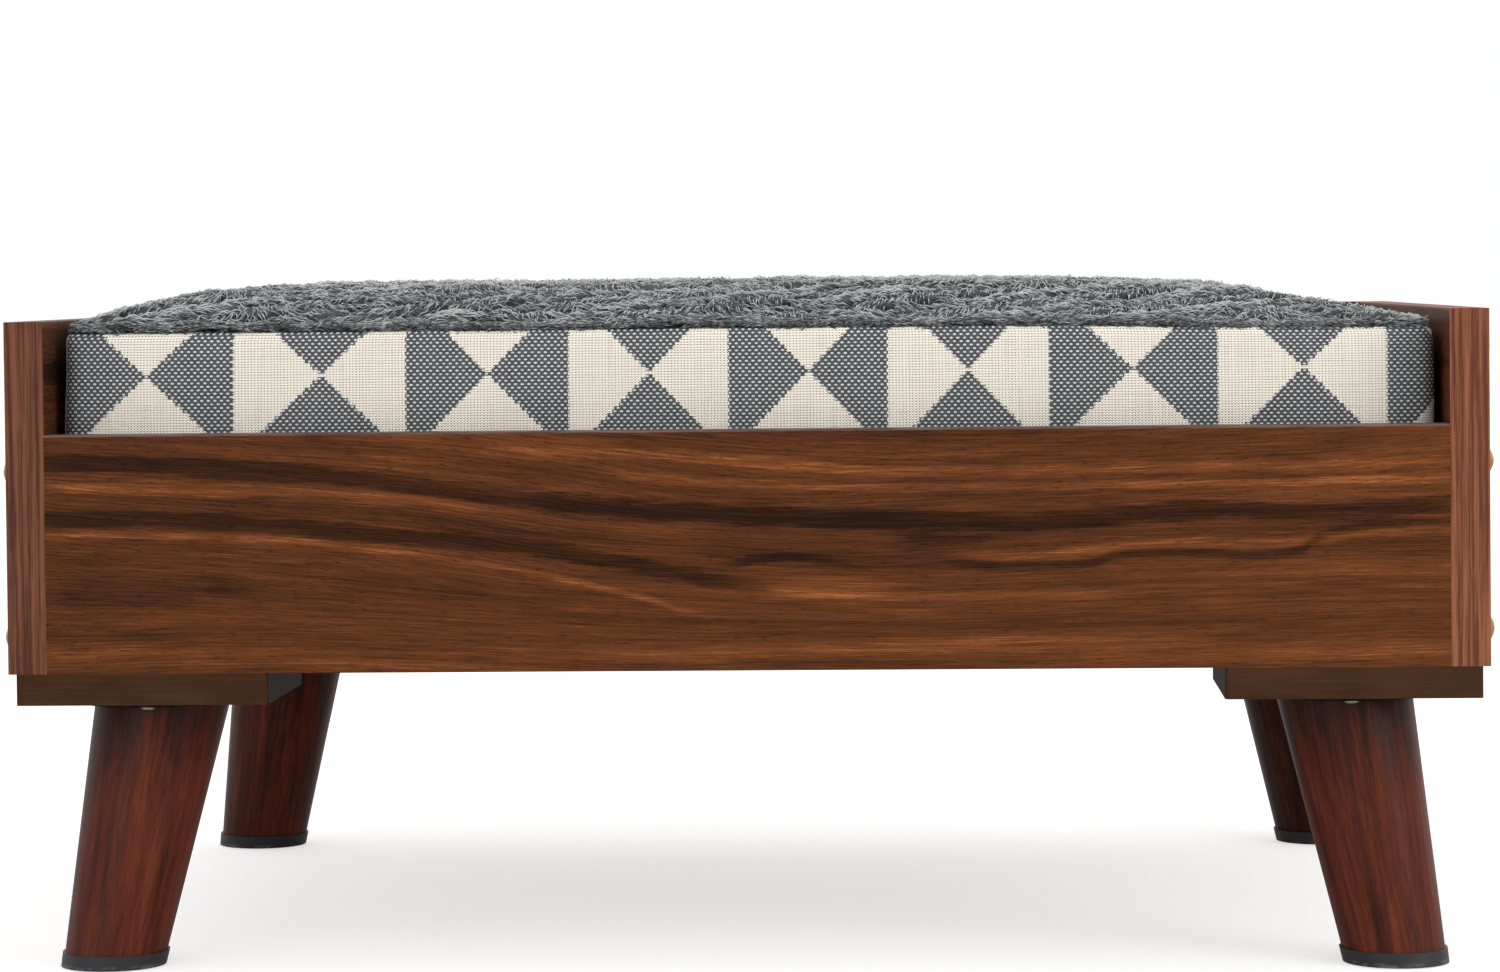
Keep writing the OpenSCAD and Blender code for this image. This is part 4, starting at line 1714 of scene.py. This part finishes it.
        dress(piece, PatternCanvas("pattern_canvas").make())
        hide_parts("cover_gusset")
        form.seam - form.bottom

    def make_base(self) -> None:
        """The plain cloth under the mattress, dipping slightly between the foam's cells."""
        form = self.form
        x, y = form.sheet(self.columns, self.rows)
        x = x * (1 - self.roll / form.half_x)
        y = form.centre_y + (y - form.centre_y) * (1 - self.roll / form.half_y)
        z = form.bottom + 0.0003 + 0.00025 * (1 + lumps(x, y, 9, 0.05)) / 2
        points = np.stack([x, y, z], -1).reshape(-1, 3)
        faces = grid_faces(self.rows, self.columns)[:, ::-1]
        piece = make_mesh("base_cloth", points, [faces])
        thicken(piece, self.wall)
        cloth = PlainCloth("base_twill", tint(52, 55, 58), tint(92, 96, 98), 1.2)
        dress(piece, cloth.make())
        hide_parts("cover_base")
        flat = (2 * (form.half_x - self.roll), 2 * (form.half_y - self.roll))

    def slack(self, x: np.ndarray) -> np.ndarray:
        """How far the top has sunk at x: a smooth step from nothing to the slump."""
        worn = np.clip((x - self.slump_from) / self.slump_over, 0, 1)
        return self.slump * worn * worn * (3 - 2 * worn)

    def tufts(self, x: np.ndarray, y: np.ndarray) -> tuple:
        """Lays out the rope-like lumps of the pile.

        Rows follow a wandering line slantwise across the bed. In each row, lens-shaped lumps
        lean one way and in the next row the other way, each starting part of a lump further on.

        Args:
            x, y: where, in metres.

        Returns:
            The height from 0 to 1, and each lump's direction in radians.
        """
        turned_x = x * math.cos(self.twill) + y * math.sin(self.twill)
        turned_y = y * math.cos(self.twill) - x * math.sin(self.twill)
        wander_y = turned_y + 0.0045 * lumps(x, y, 11, 0.09)
        wander_x = turned_x + 0.0045 * lumps(x, y, 12, 0.07)
        row = np.floor(wander_y / self.lump_y)
        v = wander_y / self.lump_y - row - 0.5
        way = np.where(np.mod(row, 2) == 0, 1.0, -1.0)
        phase = np.mod(row * 0.37, 1.0)
        spot = wander_x / self.lump_x + way * v * 0.85 + phase
        lump = np.floor(spot)
        u = spot - lump - 0.5
        odd = np.sin(lump * 12.9898 + row * 78.233) * 43758.5453
        odd = odd - np.floor(odd)
        body = np.sqrt(np.clip(1 - (1.9 * v) ** 2, 0, 1)) * np.clip(1 - (1.85 * u) ** 2, 0, 1) ** 0.6
        height = body * (0.75 + 0.35 * odd)
        angle = self.twill + way * 0.75 + (odd - 0.5) * 1.2 + 0.25 * lumps(x, y, 13, 0.04)
        return height, angle

    def plush_top(self, x: np.ndarray, y: np.ndarray) -> np.ndarray:
        """Gives the height of the pile's ground over the bed, with the lift of the cloth run.

        The crown is a quarter sine of the inset, over a run that is longer on the right, where
        the fill has slumped a little.

        Args:
            x, y: where, in metres.

        Returns:
            The height above the floor at each place.
        """
        form = self.form
        run = form.run * (1.04 + 0.26 * np.tanh(x / 0.12))
        share = np.clip(self.cap.inset(x, y) / run, 0, 1)
        column = np.clip((x / form.half_x + 1) / 2, 0, 1) * (self.columns - 1)
        row = np.clip(((y - form.centre_y) / form.half_y + 1) / 2, 0, 1) * (self.rows - 1)
        i = np.minimum(row.astype(int), self.rows - 2)
        j = np.minimum(column.astype(int), self.columns - 2)
        a, b = row - i, column - j
        lift = self.lift[..., 2]
        left = lift[i, j] * (1 - a) + lift[i + 1, j] * a
        right = lift[i, j + 1] * (1 - a) + lift[i + 1, j + 1] * a
        rise = left * (1 - b) + right * b
        settle = 0.0006 * lumps(x, y, 14, 0.11) - self.slack(x)
        crown = form.crown - self.lip - self.relief * 0.5
        return form.seam + self.lip + crown * np.sin(np.pi / 2 * share) + rise + settle

    def make_plush(self) -> None:
        """The plush top: a lumpy sheet with a rolled lip over the seam, and its strands.

        The lip is rings of points round the rim, on an arc that swells and shrinks in scallops.
        """
        form = self.cap
        columns = round(2 * form.half_x / self.plush_cell)
        rows = round(2 * form.half_y / self.plush_cell)
        x, y = form.sheet(columns, rows)
        z = self.plush_top(x, y)
        height, _ = self.tufts(x, y)
        edge = np.clip(form.inset(x, y) / 0.008, 0, 1)
        z = z + self.relief * (height - 0.5) * (0.35 + 0.65 * edge)
        top = np.stack([x, y, z], -1)
        ids = np.arange(rows * columns).reshape(rows, columns)
        rim = form.rim(ids)
        rim_points = top.reshape(-1, 3)[rim]
        step = np.roll(rim_points, -1, 0) - np.roll(rim_points, 1, 0)
        out = np.stack([step[:, 1], -step[:, 0], step[:, 2] * 0], -1)
        out /= np.linalg.norm(out, axis=1, keepdims=True)
        run = np.cumsum(np.linalg.norm(step, axis=1)) / 2
        wave = TURN * run / self.scallop + 1.5 * lumps(run, run * 0, 15, 0.05)
        scallop = 0.5 + 0.5 * np.sin(wave)
        ragged = 0.5 + 0.5 * lumps(run, run * 0, 16, 0.006)
        bulge = self.lip * (0.55 + 0.5 * scallop + 0.2 * ragged)[None, :, None]
        turns = np.radians([62, 30, 0, -32, -66])[:, None, None]
        centre = rim_points - UP * self.lip * self.lip_drop
        hem = centre[None] + bulge * (np.cos(turns) * out[None] + np.sin(turns) * UP * self.lip_tall)
        last = centre + UP * -self.lip * 0.7 - out * 0.0016
        rings = np.concatenate([hem, last[None]])
        count = rows * columns
        lower = count + np.arange(len(rings) * len(rim)).reshape(-1, len(rim))
        ring_ids = np.concatenate([rim[None], lower])
        ring_cells = ring_ids.reshape(-1)[grid_faces(len(ring_ids), len(rim), True)][:, ::-1]
        points = np.concatenate([top.reshape(-1, 3), rings.reshape(-1, 3)])
        piece = make_mesh("plush_ground", points, [grid_faces(rows, columns), ring_cells])
        # painted shade: the lip's lower rings get lower values, so they are drawn darker
        hem_painted_shade = np.repeat([0.8, 0.7, 0.5, 0.3, 0.1, 0.0], len(rim))
        give_number(piece, "depth", np.concatenate([height.reshape(-1), hem_painted_shade]))
        thicken(piece, self.plush_wall)
        dress(piece, PlushBed("plush_ground").make())
        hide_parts("cover_top")
        self.make_pile(rim_points, out)

    def make_pile(self, rim: np.ndarray, out: np.ndarray) -> None:
        """Lays the strands of the pile over the ground and its lip, sorted into shades that are partly
        the strands' own tone and partly painted light and shade.

        Args:
            rim: the points of the ground's edge.
            out: the outward direction at each.
        """
        draw = np.random.default_rng(self.pile_seed)
        parts = zip(self.lay_field(draw), self.lay_hem(draw, rim, out))
        root, end, rise, value = (np.concatenate(part) for part in parts)
        limit = self.cap.half_x + self.overhang
        end[:, 0] = np.clip(end[:, 0], -limit, limit)
        shades = np.clip((value / self.shade_step).astype(int), 0, len(self.pile_shades) - 1)
        for index, (name, root_tint, tip_tint) in enumerate(self.pile_shades):
            chosen = shades == index
            piece = self.strands(f"plush_pile_{name}", root[chosen], end[chosen], rise[chosen])
            dress(piece, PlushStrand(f"plush_{name}", root_tint, tip_tint).make())

    def lay_field(self, draw: np.random.Generator) -> tuple:
        """Places the strands of the top.

        Roots stand on a jittered grid. A strand leaves its root along its lump's direction, arches
        over and comes back down to the ground near its tip. Strands on high ground are lighter and
        those in the valleys darker, a painted light and shade.

        Args:
            draw: the source of random numbers.

        Returns:
            The roots, the tips, how the middles rise, and the shades from 0 to about 1.3.
        """
        form = self.cap
        p, q = np.meshgrid(
            np.arange(-form.half_x + 0.002, form.half_x - 0.001, self.pile_pitch),
            np.arange(-form.half_y + 0.002, form.half_y - 0.001, self.pile_pitch),
        )
        x = (p + draw.uniform(-0.6, 0.6, p.shape) * self.pile_pitch).reshape(-1)
        y = (q + draw.uniform(-0.6, 0.6, q.shape) * self.pile_pitch).reshape(-1) + form.centre_y
        height, angle = self.tufts(x, y)
        keep = (form.inset(x, y) > self.edge_bare) & (draw.random(len(x)) < 0.35 + 2.2 * height)
        x, y, height, angle = x[keep], y[keep], height[keep], angle[keep]
        angle = angle + draw.normal(0, 0.12, len(x))
        flip = np.where(draw.random(len(x)) < 0.5, 1.0, -1.0)
        way = np.stack([np.cos(angle) * flip, np.sin(angle) * flip, np.zeros(len(x))], -1)
        ground = self.plush_top(x, y) + self.relief * (height - 0.5)
        root = np.stack([x, y, ground - self.root_deep], -1)
        length = draw.uniform(*self.strand_long, len(x))
        ahead = self.tufts(x + way[:, 0] * length, y + way[:, 1] * length)[0]
        length *= np.clip(0.28 + 0.90 * ahead, 0.28, 1.0)
        lift = draw.uniform(*self.strand_lift, len(x)) * (0.5 + 0.8 * height)
        end = root + way * length[:, None]
        end_x, end_y = end[:, 0], end[:, 1]
        ground = self.plush_top(end_x, end_y) + self.relief * (self.tufts(end_x, end_y)[0] - 0.5)
        ground = np.where(form.inset(end_x, end_y) > 0, ground, root[:, 2] - self.edge_fall)
        end[:, 2] = ground + draw.uniform(*self.tip_stray, len(x))
        # painted light and shade: the value rises with the ground's height; the random part is the
        # strands' own tone
        value = 1.32 * height + draw.normal(0, 0.15, len(x)) - 0.09
        return root, end, UP * lift[:, None], value

    def lay_hem(self, draw: np.random.Generator, rim: np.ndarray, out: np.ndarray) -> tuple:
        """Places the strands of the lip, which lie along it and stray up and down.

        Args:
            draw: the source of random numbers.
            rim: the points of the ground's edge.
            out: the outward direction at each.

        Returns:
            The roots, the tips, how the middles rise, and the shades from 0 to about 1.
        """
        count = self.hem_strands
        pick = draw.integers(0, len(rim), count)
        out = out[pick]
        turn = np.radians(draw.uniform(-30, 85, count))[:, None]
        centre = rim[pick] - UP * self.lip * self.lip_drop
        root = centre + self.lip * 0.95 * (np.cos(turn) * out + np.sin(turn) * UP)
        along = np.stack([-out[:, 1], out[:, 0], np.zeros(count)], -1)
        swing = draw.normal(0, 0.45, count)[:, None]
        side = np.sign(draw.normal(size=count))[:, None]
        way = along * side + UP * (swing * 0.55 - 0.06) + out * 0.08
        way /= np.linalg.norm(way, axis=1, keepdims=True)
        end = root + way * draw.uniform(*self.hem_long, count)[:, None]
        rise = out * draw.uniform(*self.hem_lift, count)[:, None]
        clump = 0.5 + 0.5 * lumps(pick * self.plush_cell, pick * 0.0, 17, 0.018)
        # painted shade: strands low on the lip, under its roll, are darker; the clump and random parts
        # are the strands' own tone
        value = 0.20 + 0.32 * np.sin(turn[:, 0]) + 0.42 * clump + draw.normal(0, 0.17, count)
        return root, end, rise, value

    def strands(
        self, name: str, root: np.ndarray, end: np.ndarray, rise: np.ndarray
    ) -> bpy.types.Object:
        """Makes many three-sided strands in one mesh.

        Each strand has a ring of three points at its root, one where it bends, arched by its rise,
        and a single point at its tip.

        Args:
            name: the piece's name.
            root, end, rise: each strand's root, its tip and how its middle rises.

        Returns:
            The piece, with how far along its strand each point lies.
        """
        run = end - root
        side = np.cross(run, rise)
        side /= np.maximum(np.linalg.norm(side, axis=1, keepdims=True), 1e-9)
        tall = np.cross(side, run)
        tall /= np.maximum(np.linalg.norm(tall, axis=1, keepdims=True), 1e-9)
        ring = [side * np.cos(t) + tall * np.sin(t) for t in np.radians([90, 210, 330])]
        middle = root + run * self.strand_bend + rise
        low = [root + r * self.strand_root for r in ring]
        high = [middle + r * self.strand_middle for r in ring]
        points = np.stack(low + high + [end], 1)
        sides = [[0, 1, 4], [0, 4, 3], [1, 2, 5], [1, 5, 4], [2, 0, 3], [2, 3, 5]]
        ends = [[3, 4, 6], [4, 5, 6], [5, 3, 6], [2, 1, 0]]
        faces = np.arange(len(root))[:, None, None] * points.shape[1] + np.array(sides + ends)
        points, faces = points.reshape(-1, 3), faces.reshape(-1, 3)
        first = points[faces[0]]
        normal = np.cross(first[1] - first[0], first[2] - first[0])
        if np.dot(normal, first.mean(0) - root[0] - run[0] * 0.3) < 0:
            faces = faces[:, ::-1]
        piece = make_mesh(name, points, [faces])
        give_number(piece, "reach", np.tile([0, 0, 0, 0.7, 0.7, 0.7, 1.0], len(root)))
        return piece

    def make_fill(self) -> None:
        """The foams and the fibre pad inside the cover, as rounded slabs that stay under the plush."""
        support = FoamSkin("support_foam_slab", tint(226, 224, 214), tint(180, 176, 160))
        memory = FoamSkin("memory_foam_slab", tint(236, 226, 190), tint(196, 180, 132))
        fibre = FoamSkin("crown_fill", tint(240, 240, 238), tint(208, 208, 206))
        for skin, node, slot, edge, fill in (
            (support, "support_foam", "support_foam", 0.004, 0.9),
            (memory, "memory_foam", "memory_foam", 0.003, 0.8),
            (fibre, "crown_pad", "fibre_fill", 0.0, 0.6),
        ):
            low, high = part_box(node)
            crowned = node == "crown_pad"
            form = CushionForm(
                half_x=(high.x - low.x) / 2,
                half_y=(high.y - low.y) / 2,
                centre_y=(high.y + low.y) / 2,
                corner=self.fill_corner,
                bottom=low.z,
                seam=low.z + self.pad_rim if crowned else high.z,
                crown=high.z - low.z - self.pad_give if crowned else 0.0,
                run=self.pad_run,
            )
            points, faces, _ = form.shell(72, 53, 9, form.rounded(edge))
            if edge:
                points = self.set_in(points, form, edge)
            roof = self.plush_top(points[:, 0], points[:, 1]) - self.cover_gap
            if crowned:
                roof = np.where(points[:, 2] > form.bottom + SAME, roof, roof - self.pad_thin)
            else:
                roof = np.maximum(roof - self.foam_gap, form.bottom + self.foam_thin)
            points[:, 2] = np.minimum(points[:, 2], roof)
            piece = make_mesh(skin.name, points, [faces])
            dress(piece, skin.make())
            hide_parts(node)

    @staticmethod
    def set_in(points: np.ndarray, form: CushionForm, edge: float) -> np.ndarray:
        """Draws the top and bottom sheets in so that they meet the rounded wall.

        Args:
            points: the slab's points.
            form: its form.
            edge: the radius of its edges.

        Returns:
            The points, with the sheets drawn in.
        """
        z = points[:, 2]
        flat = (np.abs(z - form.bottom) < SAME) | (np.abs(z - form.seam) < SAME)
        points = points.copy()
        scale_x, scale_y = 1 - edge / form.half_x, 1 - edge / form.half_y
        points[flat, 0] *= scale_x
        points[flat, 1] = form.centre_y + (points[flat, 1] - form.centre_y) * scale_y
        return points


# ---------------------------------------------------------------- zip


@dataclass
class Zip:
    """The zip at the back: ribbed tape, two sewn-on coils, stitches, slider and pull."""

    timber: TimberFrame
    pitch: float = 0.0021
    wire: float = 0.00030
    mesh_in: float = 0.00035
    turn_steps: int = 10
    wire_sides: int = 5
    stitch: float = 0.0030
    bead: Point = (0.00115, 0.00032, 0.00036)
    hem: float = 0.0026

    def build(self) -> None:
        """Dresses the tape and the metal, and winds the coils and stitches."""
        tape = PlainCloth("zip_tape_rib", tint(52, 55, 58), tint(92, 96, 99), 0.9).make()
        self.timber.paint("zip_tape", tape)
        gun = Metal("gunmetal", tint(116, 118, 122), tint(72, 74, 78), 0.26).make()
        for name in ("zip_slider", "zip_pull"):
            self.timber.paint(name, gun)
        self.wind_coils()
        self.sew()

    def wind_coils(self) -> None:
        """Two coils of wire side by side that mesh: flattened helixes, half a turn apart."""
        low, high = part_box("zip_chain")
        middle = (low + high) / 2
        half_z = (high.z - low.z) / 4 - self.wire * 0.2
        half_y = (high.y - low.y) / 2 - self.wire - 0.00005
        turns = int((high.x - low.x - 4 * self.wire) / self.pitch)
        t = np.linspace(0, turns * TURN, turns * self.turn_steps + 1)
        x = middle.x - turns * self.pitch / 2 + self.pitch * t / TURN
        reach = (half_z + self.mesh_in) * 0.82
        meshes = []
        for side, phase in ((-1, np.pi), (1, 0.0)):
            y = middle.y + half_y * np.sin(t + phase)
            z = middle.z + side * (half_z - self.mesh_in) + reach * np.cos(t + phase)
            meshes.append(self.tube(np.stack([x, y, z], -1)))
        points = np.concatenate([mesh[0] for mesh in meshes])
        shift = len(meshes[0][0])
        quads, caps = (np.concatenate([meshes[0][k], meshes[1][k] + shift]) for k in (1, 2))
        piece = make_mesh("zip_coils", points, [quads, caps])
        nylon = MouldedPlastic("coil_nylon", tint(58, 61, 65), tint(80, 82, 86)).make()
        dress(piece, nylon)
        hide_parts("zip_chain")

    def tube(self, line: np.ndarray) -> tuple:
        """Carries a ring along a line to make a round wire.

        Args:
            line: the wire's centre points.

        Returns:
            The points, the quads and the two end caps.
        """
        ahead = np.gradient(line, axis=0)
        ahead /= np.linalg.norm(ahead, axis=1, keepdims=True)
        aside = np.cross(ahead, np.array([1.0, 0.13, 0.07]))
        aside /= np.linalg.norm(aside, axis=1, keepdims=True)
        other = np.cross(ahead, aside)
        turn = (np.arange(self.wire_sides) * TURN / self.wire_sides)[None, :, None]
        ring = aside[:, None] * np.cos(turn) + other[:, None] * np.sin(turn)
        points = (line[:, None] + self.wire * ring).reshape(-1, 3)
        quads = grid_faces(len(line), self.wire_sides, True)
        last = (len(line) - 1) * self.wire_sides
        caps = np.stack([np.arange(self.wire_sides)[::-1], last + np.arange(self.wire_sides)])
        return points, quads, caps

    def sew(self) -> None:
        """Two rows of stitches along the tape, each a low stretched bead.

        A bead is a sphere of rings by latitude, closed at both tips and stretched to the bead's size.
        """
        low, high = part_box("zip_tape")
        count = int((high.x - low.x - 0.006) / self.stitch)
        x = low.x + 0.003 + (np.arange(count) + 0.5) * self.stitch
        rows = [low.z + self.hem, high.z - self.hem]
        around, rings = 6, 5
        lat = np.linspace(-np.pi / 2, np.pi / 2, rings)[1:-1]
        lon = np.arange(around) * TURN / around
        bead_x = np.sin(lat)[:, None] * np.ones(around)
        bead_y = np.cos(lat)[:, None] * np.cos(lon)
        bead_z = np.cos(lat)[:, None] * np.sin(lon)
        bead = np.stack([bead_x, bead_y, bead_z], -1).reshape(-1, 3)
        bead = np.concatenate([bead, [[-1.0, 0, 0], [1.0, 0, 0]]]) * self.bead
        body = grid_faces(rings - 2, around, True)
        ring = np.arange(around)
        after = (ring + 1) % around
        last = (rings - 3) * around
        ends = len(bead)
        first_tip = np.stack([after, ring, np.full(around, ends - 2)], 1)
        last_tip = np.stack([last + ring, last + after, np.full(around, ends - 1)], 1)
        tips = np.concatenate([first_tip, last_tip])
        centres = np.array([[cx, high.y + 0.00005, cz] for cz in rows for cx in x])
        points = (centres[:, None] + bead[None]).reshape(-1, 3)
        shift = (np.arange(len(centres)) * ends)[:, None, None]
        faces = [(body[None] + shift).reshape(-1, 4), (tips[None] + shift).reshape(-1, 3)]
        piece = make_mesh("zip_stitches", points, faces)
        thread = PlainCloth("stitch_thread", tint(110, 112, 114), tint(150, 152, 152), 0.5).make()
        dress(piece, thread)


def main() -> None:
    """Builds the studio, the frame, the legs, the mattress and the zip."""
    logging.basicConfig(level=logging.INFO, format="%(name)s %(message)s")
    Studio().build()
    timber = TimberFrame(frame["nodes"])
    timber.build()
    Legs(timber).build()
    Mattress().build()
    Zip(timber).build()


if __name__ == "__main__":
    main()
